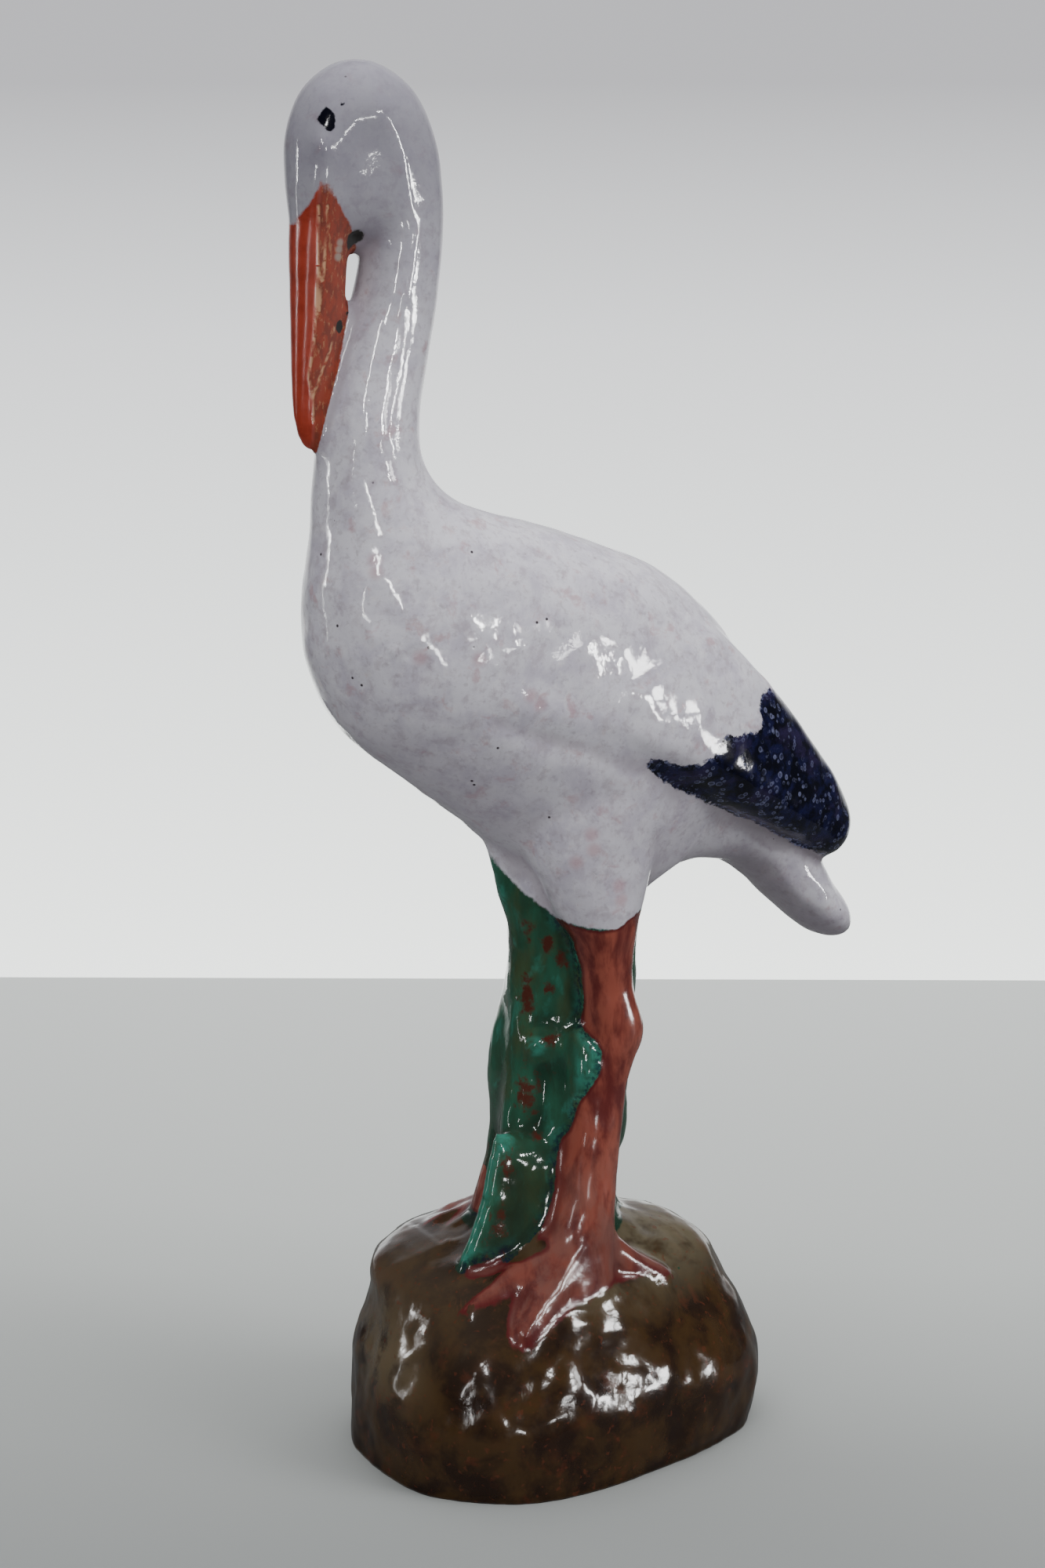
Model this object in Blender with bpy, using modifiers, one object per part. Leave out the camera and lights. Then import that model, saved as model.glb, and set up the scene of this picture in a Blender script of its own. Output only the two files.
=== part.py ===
"""A glazed ceramic stork that rests its bill on its neck, standing on a mound with a plant between its legs.

The figurine is moulded and fired as one piece. The bird looks along -X, its left side faces -Y, +Z is up,
and the origin is the middle of the mound's flat underside. Sizes are in metres and angles in degrees.
"""
import math

import bmesh
import bpy
from mathutils import Vector

# The mound
MOUND_HEIGHT = 0.0500
MOUND_LENGTH = 0.0915
MOUND_WIDTH = 0.0655
MOUND_BULGE = 0.0026            # how far its tail side stands out past its footprint
MOUND_CREST = (0.004, 0.007)    # where its highest point lies from the middle
MOUND_TAPER = 0.24              # share by which the footprint narrows from the front to the tail side
FOOTPRINT_SQUARENESS = 2.35     # 2 is an ellipse
SHOULDER_ROUNDNESS = 2.7        # how squarely the sides turn over into the top
SIDE_STEEPNESS = 3.0            # how long the sides stay upright before they turn over
FRONT_STEEPNESS = 1.9           # what the bill's side, the far side and the near side add to that
FAR_STEEPNESS = 1.1
NEAR_STEEPNESS = -0.2

# Soft lumps and hollows of the mound, each a bearing from +X, a level from 0 (the table) to 1 (the top),
# the half widths in degrees and in levels, and how far it stands out
MOUND_LUMPS = (
    (150.0, 0.84, 34.0, 0.10, 0.0046),
    (145.0, 0.985, 40.0, 0.03, -0.0060),
    (160.0, 0.62, 32.0, 0.13, -0.0017),
    (-28.0, 0.66, 30.0, 0.20, -0.0022),
    (-95.0, 0.45, 26.0, 0.22, 0.0008),
    (-60.0, 0.74, 22.0, 0.14, 0.0007),
    (60.0, 0.50, 30.0, 0.20, 0.0010),
)

# The bird, from the top of the mound to the crown. Its pose is drawn on a grid whose steps are shares of
# this height, with x and y from the middle of the mound and z from the mound's top.
FIGURE_HEIGHT = 0.2512
STEPS_TALL = 251.2
STEP = FIGURE_HEIGHT / STEPS_TALL

# The feet, in steps of the drawing
FAR_TOES = 0.8          # length of the far foot's toes beside the near foot's
NEAR_INSTEP = 12.0      # how high the toes run up the leg
FAR_INSTEP = 3.0
INSTEP_RISE = 0.7       # share of the instep's height that a toe still has at its knuckle
TOE_ROOT = 1.5          # where a toe leaves the leg, from the leg's middle
TOE_KNUCKLE = 2.5       # where it comes down to the mound
ROOT_SHARE = 0.75       # how thick the root is beside the toe
KNUCKLE_SWELL = 1.6
TOE_SLIMMING = 0.4      # share of its half width that a toe loses to its tip
TOE_LIFT = 1.2          # height of a toe's middle line over the mound, were it as thin as a thread
TOE_SINK = 0.55         # and the share of its half width by which a thicker toe lies deeper
TOE_DROP = 0.8          # how deep the tip sinks into the mound
TOE_STATIONS = 10

# Each toe: its bearing from straight ahead (towards the outside), its length and half width. The fourth
# is the palm that joins the front three.
TOES = (
    (-13.0, 27.0, 2.6),
    (5.0, 29.6, 3.0),
    (29.0, 24.4, 5.4),
    (12.0, 18.0, 6.0),
    (177.0, 20.0, 2.8),
)

# The skin that joins all forms
VOXEL = 0.0011
SMOOTHING_ROUNDS = 10
SKIN_TRIANGLES = 9600
RING_POINTS = 40

# The white tin glaze that covers most of the figurine
GLAZE_COLOUR = (0.56, 0.54, 0.57, 1.0)
GLAZE_ROUGHNESS = 0.15

# Ribs, each x, y, z of its upper or back end, x, y, z of its lower or breast end, half thickness and
# squareness (2 is an ellipse). The first runs from the bill's root over the crown, down the neck and
# through the body to the tail.
NECK_AND_BODY = (
    (-60.0, 0.0, 216.0, -48.2, 0.0, 215.0, 5.8, 2.0),
    (-61.0, 0.0, 228.0, -48.0, 0.0, 222.0, 8.0, 2.0),
    (-60.2, 0.0, 238.2, -47.4, 0.0, 227.0, 9.3, 2.0),
    (-55.4, 0.0, 247.2, -46.2, 0.0, 229.4, 9.9, 2.0),
    (-45.6, 0.0, 251.4, -44.8, 0.0, 230.0, 10.0, 2.0),
    (-35.2, 0.0, 246.4, -43.4, 0.0, 228.6, 9.6, 2.0),
    (-29.4, 0.0, 235.8, -43.0, 0.0, 225.0, 9.0, 2.0),
    (-27.6, 0.0, 224.0, -43.6, 0.0, 220.0, 8.4, 2.0),
    (-27.8, 0.0, 212.0, -44.9, 0.0, 211.0, 8.2, 2.0),
    (-29.3, 0.0, 200.5, -47.2, 0.0, 202.0, 8.5, 2.0),
    (-31.6, 0.0, 189.0, -50.6, 0.0, 192.0, 9.4, 2.0),
    (-33.3, 0.0, 178.5, -54.3, 0.0, 179.0, 10.6, 2.0),
    (-32.4, 0.0, 169.5, -55.6, 0.0, 166.0, 12.0, 2.0),
    (-26.2, 0.0, 162.2, -56.4, 0.0, 154.0, 15.2, 2.0),
    (-16.2, 0.0, 158.2, -57.8, 0.0, 142.0, 19.2, 2.1),
    (-4.8, 0.0, 155.0, -57.0, 0.0, 128.0, 22.8, 2.1),
    (8.0, 0.0, 150.6, -51.0, 0.0, 115.0, 25.0, 2.1),
    (20.0, 0.0, 145.6, -41.0, 0.0, 106.0, 25.8, 2.1),
    (29.4, 0.0, 139.0, -29.4, 0.0, 97.0, 25.6, 2.1),
    (36.4, 0.0, 131.8, -18.0, 0.0, 87.8, 24.2, 2.1),
    (42.0, 0.0, 124.0, -8.6, 0.0, 79.2, 21.6, 2.2),
    (46.4, 0.0, 116.0, 0.6, 0.0, 70.6, 17.4, 2.2),
    (49.4, 0.0, 108.4, 9.0, 0.0, 69.0, 13.2, 2.1),
    (52.4, 0.0, 101.4, 17.2, 0.0, 75.2, 11.4, 2.0),
    (55.6, 0.0, 94.6, 25.0, 0.0, 78.3, 10.8, 2.0),
    (59.2, 0.0, 87.4, 33.0, 0.0, 79.0, 10.4, 2.0),
    (62.6, 0.0, 79.6, 41.6, 0.0, 76.6, 10.0, 2.0),
    (66.4, 0.0, 72.0, 50.6, 0.0, 68.8, 9.6, 2.0),
    (70.9, 0.0, 65.8, 58.8, 0.0, 61.4, 8.6, 2.0),
    (72.9, 0.0, 60.8, 65.8, 0.0, 57.4, 6.0, 2.0),
    (73.1, 0.0, 58.8, 71.0, 0.0, 57.5, 2.2, 2.0),
)

BILL = (
    (-59.4, 0.0, 229.0, -48.6, 0.0, 224.0, 6.4, 2.2),
    (-60.4, 0.0, 217.0, -48.4, 0.0, 216.0, 6.0, 2.3),
    (-60.5, 0.0, 206.0, -48.9, 0.0, 207.0, 5.4, 2.3),
    (-60.6, 0.0, 196.0, -49.8, 0.0, 197.5, 4.7, 2.2),
    (-60.7, 0.0, 187.0, -51.4, 0.0, 189.0, 3.9, 2.1),
    (-60.4, 0.0, 179.5, -53.2, 0.0, 181.5, 3.1, 2.0),
    (-59.2, 0.0, 174.5, -54.8, 0.0, 176.5, 2.2, 2.0),
    (-57.4, 0.0, 172.2, -56.0, 0.0, 173.2, 0.9, 2.0),
)

WING = (
    (-30.0, -4.0, 150.0, -36.0, -10.0, 136.0, 4.0, 2.2),
    (-14.0, -6.5, 149.4, -25.0, -16.0, 124.0, 8.6, 2.3),
    (3.6, -7.0, 145.0, -12.0, -19.4, 114.6, 10.8, 2.5),
    (17.4, -7.0, 139.8, 3.0, -20.2, 108.4, 11.0, 2.6),
    (30.0, -6.6, 132.0, 16.0, -19.4, 102.4, 10.8, 2.6),
    (41.0, -6.0, 121.8, 28.4, -17.4, 96.0, 9.8, 2.6),
    (51.5, -4.4, 110.8, 40.0, -14.6, 89.8, 8.4, 2.6),
    (60.8, -3.4, 99.6, 50.6, -11.8, 84.0, 7.0, 2.5),
    (66.6, -2.6, 91.4, 58.2, -9.6, 79.4, 5.6, 2.4),
    (69.2, -2.2, 87.0, 62.4, -8.0, 77.6, 4.2, 2.2),
    (69.7, -2.0, 84.8, 65.6, -6.2, 78.2, 2.2, 2.0),
)

# The low ground between the wings' ends
BACK = (
    (38.0, 0.0, 123.0, 32.0, 0.0, 108.0, 6.0, 2.0),
    (49.6, 0.0, 110.4, 41.0, 0.0, 97.0, 6.6, 2.0),
    (58.6, 0.0, 99.4, 50.0, 0.0, 87.0, 6.2, 2.0),
    (65.0, 0.0, 91.2, 57.0, 0.0, 81.0, 5.0, 2.0),
    (68.0, 0.0, 86.8, 62.0, 0.0, 79.0, 3.4, 2.0),
)

# The cut leaf that lies on the front of the plant, from its tip to its cut end
LEAF = (
    (-14.6, -7.0, 22.4, -9.0, -9.0, 20.6, 1.6, 2.4),
    (-16.6, -7.0, 19.0, -8.0, -10.0, 16.4, 2.8, 2.6),
    (-18.8, -7.6, 10.0, -9.4, -11.0, 7.6, 3.0, 2.8),
    (-21.6, -8.0, 1.0, -11.0, -11.6, -0.6, 3.2, 2.8),
    (-24.4, -8.4, -6.0, -12.4, -12.4, -7.0, 3.4, 2.8),
    (-24.6, -8.6, -9.0, -12.6, -12.6, -9.4, 2.4, 2.6),
)

# Level sections, each x, y and z of the middle, half length, half width and squareness
THIGH = (
    (4.0, -10.0, 106.0, 20.0, 12.0, 2.0),
    (3.0, -10.6, 96.0, 18.0, 12.0, 2.0),
    (2.0, -11.4, 86.0, 14.6, 10.8, 2.0),
    (2.4, -12.4, 78.0, 11.6, 9.4, 2.0),
    (3.0, -13.2, 72.0, 9.2, 8.0, 2.0),
    (3.6, -14.0, 67.6, 7.2, 6.8, 2.0),
    (3.8, -14.0, 63.0, 6.0, 5.9, 2.0),
)

# The skin that closes the crook between the head and the neck
CROOK_WEB = (
    (-46.6, 1.2, 212.6, 1.4, 1.8, 2.0),
    (-46.5, 0.8, 215.2, 3.4, 4.6, 2.0),
    (-46.2, 0.2, 218.4, 6.4, 7.4, 2.0),
    (-46.0, 0.0, 222.6, 8.6, 9.0, 2.0),
    (-45.6, 0.0, 229.0, 9.8, 9.8, 2.0),
    (-45.2, 0.0, 236.0, 9.6, 9.6, 2.0),
    (-45.0, 0.0, 242.0, 6.4, 7.0, 2.0),
)

PALM = (
    (-4.0, -17.0, 0.0, 3.6, 3.2, 2.0),
    (-5.4, -17.4, -3.0, 5.4, 4.8, 2.0),
    (-6.8, -18.2, -6.4, 7.0, 6.2, 2.0),
    (-7.8, -18.8, -12.0, 7.6, 6.8, 2.0),
)

# The thick middle of the plant
TRUNK = (
    (3.0, 0.0, 90.0, 17.0, 10.5, 2.2),
    (3.0, 0.0, 76.0, 15.6, 10.5, 2.3),
    (3.4, 0.4, 62.0, 14.6, 10.0, 2.4),
    (2.8, 0.4, 48.0, 14.6, 9.6, 2.4),
    (1.6, 0.4, 34.0, 14.8, 9.6, 2.4),
    (0.4, 0.4, 20.0, 14.2, 9.6, 2.4),
    (-1.4, 0.4, 8.0, 14.6, 10.0, 2.3),
    (-3.0, 0.4, -2.0, 17.0, 11.5, 2.2),
    (-3.4, 0.4, -12.0, 20.0, 13.0, 2.0),
)

# Round stems, each through points x, y, z with a radius
LEG = (
    (3.6, -14.0, 76.0, 8.2),
    (3.8, -14.0, 67.0, 6.9),
    (4.2, -14.0, 58.0, 5.7),
    (5.2, -14.0, 51.0, 6.2),
    (6.8, -14.0, 46.5, 6.8),
    (4.8, -14.0, 41.0, 5.9),
    (3.4, -14.0, 34.0, 5.4),
    (1.8, -14.0, 24.0, 6.0),
    (0.2, -14.2, 14.0, 6.4),
    (-1.0, -14.6, 4.0, 6.6),
    (-1.4, -15.0, -4.0, 6.8),
    (-1.4, -15.0, -12.0, 6.8),
)

BLADE_FRONT = (
    (-14.6, 1.0, 88.0, 3.0),
    (-10.6, 1.0, 78.0, 4.0),
    (-6.8, 0.0, 66.0, 4.6),
    (-6.6, -1.0, 54.0, 4.8),
    (-7.8, -2.0, 42.0, 5.0),
    (-9.0, -3.0, 28.0, 5.4),
    (-11.0, -3.0, 14.0, 5.8),
    (-13.6, -3.0, -2.0, 6.6),
    (-14.0, -3.0, -12.0, 7.0),
)

BLADE_FAR = (
    (-5.0, 5.0, 68.0, 4.0),
    (-4.4, 6.0, 56.0, 4.8),
    (-5.6, 7.0, 45.0, 6.0),
    (-7.4, 7.0, 34.0, 6.8),
    (-6.6, 7.0, 24.0, 6.0),
    (-8.4, 7.0, 12.0, 6.0),
    (-12.0, 7.0, 0.0, 6.6),
    (-13.0, 7.0, -10.0, 7.0),
)

BLADE_BACK = (
    (13.6, 5.0, 76.0, 4.4),
    (15.8, 5.0, 64.0, 5.2),
    (16.4, 5.0, 52.0, 4.8),
    (15.4, 5.0, 40.0, 4.6),
    (13.6, 5.0, 29.0, 4.2),
    (15.2, 5.0, 19.0, 5.0),
    (11.0, 5.0, 10.0, 4.2),
    (11.0, 5.0, 0.0, 5.0),
    (14.6, 5.0, -10.0, 7.0),
)

KNOB = (
    (1.0, -5.0, 40.0, 3.0),
    (-2.0, -6.8, 42.4, 4.8),
    (-6.4, -7.0, 43.2, 4.6),
    (-10.6, -5.4, 41.4, 3.0),
)

LOBE = (
    (-1.6, -11.0, 46.0, 3.0),
    (0.0, -14.6, 40.4, 4.4),
    (-1.0, -14.4, 33.0, 3.8),
    (-3.6, -12.0, 24.0, 2.6),
)


def place(x, y, z):
    """A point of the drawing, in metres."""
    return Vector((x * STEP, y * STEP, MOUND_HEIGHT + z * STEP))


def through(values, t):
    """The value at t (0 to 1) of a smooth curve through equally spaced tuples of numbers."""
    last = len(values) - 1
    at = min(max(t, 0.0), 1.0) * last
    i = min(int(at), last - 1)
    f = at - i
    a, b, c, d = (values[min(max(k, 0), last)] for k in (i - 1, i, i + 1, i + 2))
    mixed = []
    for p, q, r, s in zip(a, b, c, d):
        mixed.append(q + 0.5 * f * (r - p + f * (2 * p - 5 * q + 4 * r - s + f * (3 * (q - r) + s - p))))
    return mixed


def round_section(middle, along, across, squareness):
    """Ring of points of an ellipse, or of a squarer form of it, from its two half axes."""
    ring = []
    power = 2.0 / squareness
    for k in range(RING_POINTS):
        c, s = math.cos(math.tau * k / RING_POINTS), math.sin(math.tau * k / RING_POINTS)
        u = math.copysign(abs(c) ** power, c)
        v = math.copysign(abs(s) ** power, s)
        ring.append(middle + along * u + across * v)
    return ring


def loft(name, rings):
    """A closed form over a list of rings, with a point at each end."""
    mesh = bmesh.new()
    rows = [[mesh.verts.new(p) for p in ring] for ring in rings]
    ends = [mesh.verts.new(sum(ring, Vector()) / len(ring)) for ring in (rings[0], rings[-1])]
    count = len(rings[0])
    for low, high in zip(rows, rows[1:]):
        for k in range(count):
            n = (k + 1) % count
            mesh.faces.new((low[k], low[n], high[n], high[k]))
    for k in range(count):
        n = (k + 1) % count
        mesh.faces.new((ends[0], rows[0][n], rows[0][k]))
        mesh.faces.new((ends[1], rows[-1][k], rows[-1][n]))
    bmesh.ops.recalc_face_normals(mesh, faces=mesh.faces)
    return keep(name, mesh)


def keep(name, mesh):
    """An object made of the mesh, kept with the forms."""
    data = bpy.data.meshes.new(name)
    mesh.to_mesh(data)
    mesh.free()
    form = bpy.data.objects.new(name, data)
    forms.objects.link(form)
    return form


def ribbed(name, ribs, stations, side=1.0):
    """A loft over ribs; side is 1 for the near (left) side and -1 for its mirror image."""
    rows = [through(ribs, i / stations) for i in range(stations + 1)]
    uppers = [place(row[0], row[1] * side, row[2]) for row in rows]
    lowers = [place(row[3], row[4] * side, row[5]) for row in rows]
    middles = [(upper + lower) / 2 for upper, lower in zip(uppers, lowers)]
    rings = []
    for i, row in enumerate(rows):
        ahead = middles[min(i + 1, stations)] - middles[max(i - 1, 0)]
        chord = (uppers[i] - lowers[i]) / 2
        across = ahead.cross(chord).normalized() * row[6] * STEP
        rings.append(round_section(middles[i], chord, across, row[7]))
    return loft(name, rings)


def levels(name, sections, stations, side=1.0):
    """A loft over level sections."""
    rings = []
    for i in range(stations + 1):
        x, y, z, length, width, squareness = through(sections, i / stations)
        along, across = Vector((length * STEP, 0, 0)), Vector((0, width * STEP, 0))
        rings.append(round_section(place(x, y * side, z), along, across, squareness))
    return loft(name, rings)


def limb(name, points, side=1.0):
    """A round limb along points with a radius each, drawn as a bevelled curve."""
    curve = bpy.data.curves.new(name, "CURVE")
    curve.dimensions = "3D"
    curve.bevel_depth = STEP
    curve.bevel_resolution = 6
    curve.use_fill_caps = True
    curve.resolution_u = 6
    spline = curve.splines.new("NURBS")
    spline.points.add(len(points) - 1)
    spline.use_endpoint_u = True
    spline.order_u = 3
    for point, (x, y, z, radius) in zip(spline.points, points):
        point.co = (*place(x, y * side, z), 1.0)
        point.radius = radius
    drawn = bpy.data.objects.new(name, curve)
    forms.objects.link(drawn)
    bpy.context.view_layer.update()
    seen = drawn.evaluated_get(bpy.context.evaluated_depsgraph_get())
    mesh = bmesh.new()
    mesh.from_mesh(seen.to_mesh())
    bpy.data.objects.remove(drawn)
    bmesh.ops.remove_doubles(mesh, verts=mesh.verts, dist=0.000001)
    bmesh.ops.recalc_face_normals(mesh, faces=mesh.faces)
    return keep(name, mesh)


# The mound's form

def footprint(angle):
    """Distance from the middle to the mound's edge on the table, along a bearing in radians from +X."""
    c, s = math.cos(angle), math.sin(angle)
    half_width = MOUND_WIDTH / 2 * (1.0 - MOUND_TAPER * c)
    square = FOOTPRINT_SQUARENESS
    return (abs(c / (MOUND_LENGTH / 2)) ** square + abs(s / half_width) ** square) ** (-1 / square)


def lumps(angle, level):
    """How far the mound's lumps and hollows stand out at a bearing and a level."""
    out = 0.0
    for bearing, height, spread, rise, stand in MOUND_LUMPS:
        turn = math.remainder(angle - math.radians(bearing), math.tau) / math.radians(spread)
        out += stand * math.exp(-turn ** 2 - ((level - height) / rise) ** 2)
    return out


def mound_reach(angle, level):
    """Distance from the mound's middle line to its skin, at a level from 0 (the table) to 1 (the top)."""
    c, s = math.cos(angle), math.sin(angle)
    power = SIDE_STEEPNESS + FRONT_STEEPNESS * max(-c, 0.0) ** 2
    power += NEAR_STEEPNESS * max(-s, 0.0) ** 2 + FAR_STEEPNESS * max(s, 0.0) ** 2
    swell = MOUND_BULGE * (0.55 + 0.45 * c) * math.sin(math.pi * min(level / 0.7, 1.0) ** 0.7)
    shrink = (1.0 - level ** power) ** (1 / SHOULDER_ROUNDNESS)
    return (footprint(angle) + swell + lumps(angle, level)) * shrink


def mound_middle(level):
    """The middle of the mound's level ring, which moves to the far side as it rises."""
    return Vector((*MOUND_CREST, 0)) * level ** 2


def mound_rings():
    """The mound's level rings, from below the table to its top, closer together where it turns over."""
    rings = []
    for t in (-0.12, 0.0, 0.06, 0.15, 0.27, 0.4, 0.52, 0.63, 0.73, 0.81, 0.88, 0.935, 0.97, 0.99, 0.998):
        middle = mound_middle(max(t, 0.0)) + Vector((0, 0, t * MOUND_HEIGHT))
        ring = []
        for k in range(RING_POINTS * 2):
            angle = math.tau * k / (RING_POINTS * 2)
            reach = mound_reach(angle, max(t, 0.0))
            ring.append(middle + Vector((math.cos(angle), math.sin(angle), 0)) * reach)
        rings.append(ring)
    return rings


def mound_top(x, y):
    """Height over the table of the mound's skin at a place seen from above, found by halving."""
    low, high = 0.3, 0.999
    for _ in range(30):
        level = (low + high) / 2
        gap = Vector((x, y, 0)) - mound_middle(level)
        if gap.length < mound_reach(math.atan2(gap.y, gap.x), level):
            low = level
        else:
            high = level
    return low * MOUND_HEIGHT


# A foot

def foot(side, reach, instep):
    """The toes of one foot, laid over the mound, each running up the leg to the height of the instep."""
    ankle = Vector((LEG[-1][0], LEG[-1][1]))
    for bearing, length, half_width in TOES:
        turn = math.radians(bearing)
        ahead = Vector((-math.cos(turn), -math.sin(turn)))
        root = ankle + ahead * TOE_ROOT
        points = [(root.x, root.y, instep, half_width * ROOT_SHARE)]
        for i in range(TOE_STATIONS):
            t = i / (TOE_STATIONS - 1)
            spot = ankle + ahead * (TOE_KNUCKLE + (length * reach - TOE_KNUCKLE) * t)
            ground = (mound_top(spot.x * STEP, spot.y * STEP * side) - MOUND_HEIGHT) / STEP
            radius = half_width * (1.0 - TOE_SLIMMING * t ** 2.5) + KNUCKLE_SWELL * (1 - t) ** 2
            rise = INSTEP_RISE * instep * (1 - t) ** 3
            z = ground + rise + TOE_LIFT - TOE_SINK * radius - TOE_DROP * t ** 3
            points.append((spot.x, spot.y, z, radius))
        limb("toe", points, side)


# The fired piece

def table_cutter():
    """A block under the table that cuts the figurine's underside flat."""
    block = bmesh.new()
    bmesh.ops.create_cube(block, size=1.0)
    bmesh.ops.scale(block, vec=Vector((MOUND_LENGTH * 2, MOUND_WIDTH * 2, MOUND_HEIGHT)), verts=block.verts)
    bmesh.ops.translate(block, vec=Vector((0, 0, -MOUND_HEIGHT / 2)), verts=block.verts)
    data = bpy.data.meshes.new("table_cut")
    block.to_mesh(data)
    block.free()
    cutter = bpy.data.objects.new("table_cut", data)
    cutters.objects.link(cutter)
    cutter.hide_render = True
    cutter.display_type = "WIRE"
    return cutter


def fired(name, cutter):
    """All forms as one closed skin with soft joins, flat on the table."""
    mesh = bmesh.new()
    for form in forms.objects:
        mesh.from_mesh(form.data)
        form.hide_render = True
        form.display_type = "WIRE"
    data = bpy.data.meshes.new(name)
    mesh.to_mesh(data)
    mesh.free()
    data.shade_smooth()
    body = bpy.data.objects.new(name, data)
    part.objects.link(body)
    joined = body.modifiers.new("One clay body", "REMESH")
    joined.mode = "VOXEL"
    joined.voxel_size = VOXEL
    joined.use_smooth_shade = True
    softened = body.modifiers.new("Glaze over soft edges", "SMOOTH")
    softened.factor = 0.5
    softened.iterations = SMOOTHING_ROUNDS
    bpy.context.view_layer.update()
    fine = len(body.evaluated_get(bpy.context.evaluated_depsgraph_get()).data.polygons) * 2
    facets = body.modifiers.new("Facets", "DECIMATE")
    facets.ratio = min(1.0, SKIN_TRIANGLES / fine)
    flat = body.modifiers.new("Flat underside", "BOOLEAN")
    flat.operation = "DIFFERENCE"
    flat.solver = "EXACT"
    flat.object = cutter
    return body


def glaze(body):
    """Coats the figurine in glossy tin glaze."""
    coat = bpy.data.materials.new("glazed_ceramic")
    coat.use_nodes = True
    shader = coat.node_tree.nodes["Principled BSDF"]
    shader.inputs["Base Color"].default_value = GLAZE_COLOUR
    shader.inputs["Roughness"].default_value = GLAZE_ROUGHNESS
    shader.inputs["Metallic"].default_value = 0.0
    coat.diffuse_color = GLAZE_COLOUR
    body.data.materials.append(coat)


for old in list(bpy.data.objects):
    bpy.data.objects.remove(old)

part = bpy.data.collections.new("Ceramic stork figurine")
cutters = bpy.data.collections.new("Helpers")
forms = bpy.data.collections.new("Forms")
for group in (part, cutters, forms):
    bpy.context.scene.collection.children.link(group)

loft("mound", mound_rings())
ribbed("neck_and_body", NECK_AND_BODY, 110)
ribbed("bill", BILL, 28)
ribbed("back", BACK, 20)
levels("crook_web", CROOK_WEB, 12)
levels("trunk", TRUNK, 30)
ribbed("leaf", LEAF, 20)
for stem in (BLADE_FRONT, BLADE_FAR, BLADE_BACK, KNOB, LOBE):
    limb("stem", stem)
for side, toes, instep in ((1.0, 1.0, NEAR_INSTEP), (-1.0, FAR_TOES, FAR_INSTEP)):
    ribbed("wing", WING, 40, side)
    levels("thigh", THIGH, 24, side)
    limb("leg", LEG, side)
    levels("palm", PALM, 10, side)
    foot(side, toes, instep)

stork = fired("stork_figurine", table_cutter())
glaze(stork)
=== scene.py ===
"""The looks of a glazed ceramic stork: its fine form, its painted glazes and the studio it stands in."""
import logging
import math
from dataclasses import dataclass, field
from enum import Enum
from typing import Iterable, Sequence

import bmesh
import bpy
import numpy as np
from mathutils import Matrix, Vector, noise
from mathutils.bvhtree import BVHTree


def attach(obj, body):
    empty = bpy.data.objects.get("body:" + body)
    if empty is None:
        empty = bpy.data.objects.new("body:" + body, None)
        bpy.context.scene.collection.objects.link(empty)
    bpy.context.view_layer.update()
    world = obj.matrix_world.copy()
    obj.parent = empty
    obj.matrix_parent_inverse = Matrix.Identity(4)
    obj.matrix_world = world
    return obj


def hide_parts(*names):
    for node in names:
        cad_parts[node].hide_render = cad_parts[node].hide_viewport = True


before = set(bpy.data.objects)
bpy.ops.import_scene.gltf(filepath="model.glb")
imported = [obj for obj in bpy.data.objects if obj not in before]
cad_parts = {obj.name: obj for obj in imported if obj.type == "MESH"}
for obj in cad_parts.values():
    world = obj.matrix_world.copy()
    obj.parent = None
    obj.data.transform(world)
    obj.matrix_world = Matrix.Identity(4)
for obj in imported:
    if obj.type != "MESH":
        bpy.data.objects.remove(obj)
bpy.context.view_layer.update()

logging.basicConfig(level=logging.INFO, format="%(message)s")
report = logging.getLogger("stork")

MM = 0.001
MM_PER_M = 1000.0
# The steps of the drawing beyond which a distance on the skin is no longer measured
FAR_AWAY = 8.0

Row = Sequence[float]
Line = tuple[tuple[float, float], ...]
Socket = bpy.types.NodeSocket


class Side(Enum):
    """The bird's two sides: its left side is the near one."""

    NEAR = 1.0
    FAR = -1.0


class Zone(Enum):
    """The painted zones of the one glazed skin."""

    WHITE = "white"
    BILL = "bill"
    LEG = "leg"
    PLANT = "plant"
    MOUND = "mound"


Depths = dict[Zone, np.ndarray]


# Shapes

@dataclass(frozen=True)
class Pose:
    """The grid on which the bird's pose is drawn.

    Its zero is the middle of the mound's top, and a step is a share of the figure's height.
    """

    mound_height: float = 0.0500
    figure_height: float = 0.2512
    steps_tall: float = 251.2

    @property
    def step(self) -> float:
        """Length of one step, in metres."""
        return self.figure_height / self.steps_tall

    def place(self, x: float, y: float, z: float) -> Vector:
        """A point of the drawing, in metres."""
        return Vector((x * self.step, y * self.step, self.mound_height + z * self.step))

    def drawn(self, points: np.ndarray) -> np.ndarray:
        """Points given in metres, on the grid of the drawing."""
        return (points - np.array((0.0, 0.0, self.mound_height))) / self.step


@dataclass
class Form:
    """One closed form of the clay, before all forms are joined to a single skin."""

    zone: Zone
    points: list[Vector]
    faces: list[tuple[int, ...]]

    def depth(self, places: np.ndarray, reach: float) -> np.ndarray:
        """Signed distance of places to this form, negative inside it.

        Args:
            places: points in metres, one a row.
            reach: how far from the form the distance is still measured.

        Returns:
            One distance a place, and the reach for each that lies farther away.
        """
        low = np.min(self.points, axis=0) - reach
        high = np.max(self.points, axis=0) + reach
        found = np.full(len(places), reach)
        tree = BVHTree.FromPolygons(self.points, self.faces)
        for i in np.nonzero(np.all((places > low) & (places < high), axis=1))[0]:
            place = Vector(places[i])
            spot, normal, _, distance = tree.find_nearest(place)
            found[i] = math.copysign(min(distance, reach), normal.dot(place - spot))
        return found


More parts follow.
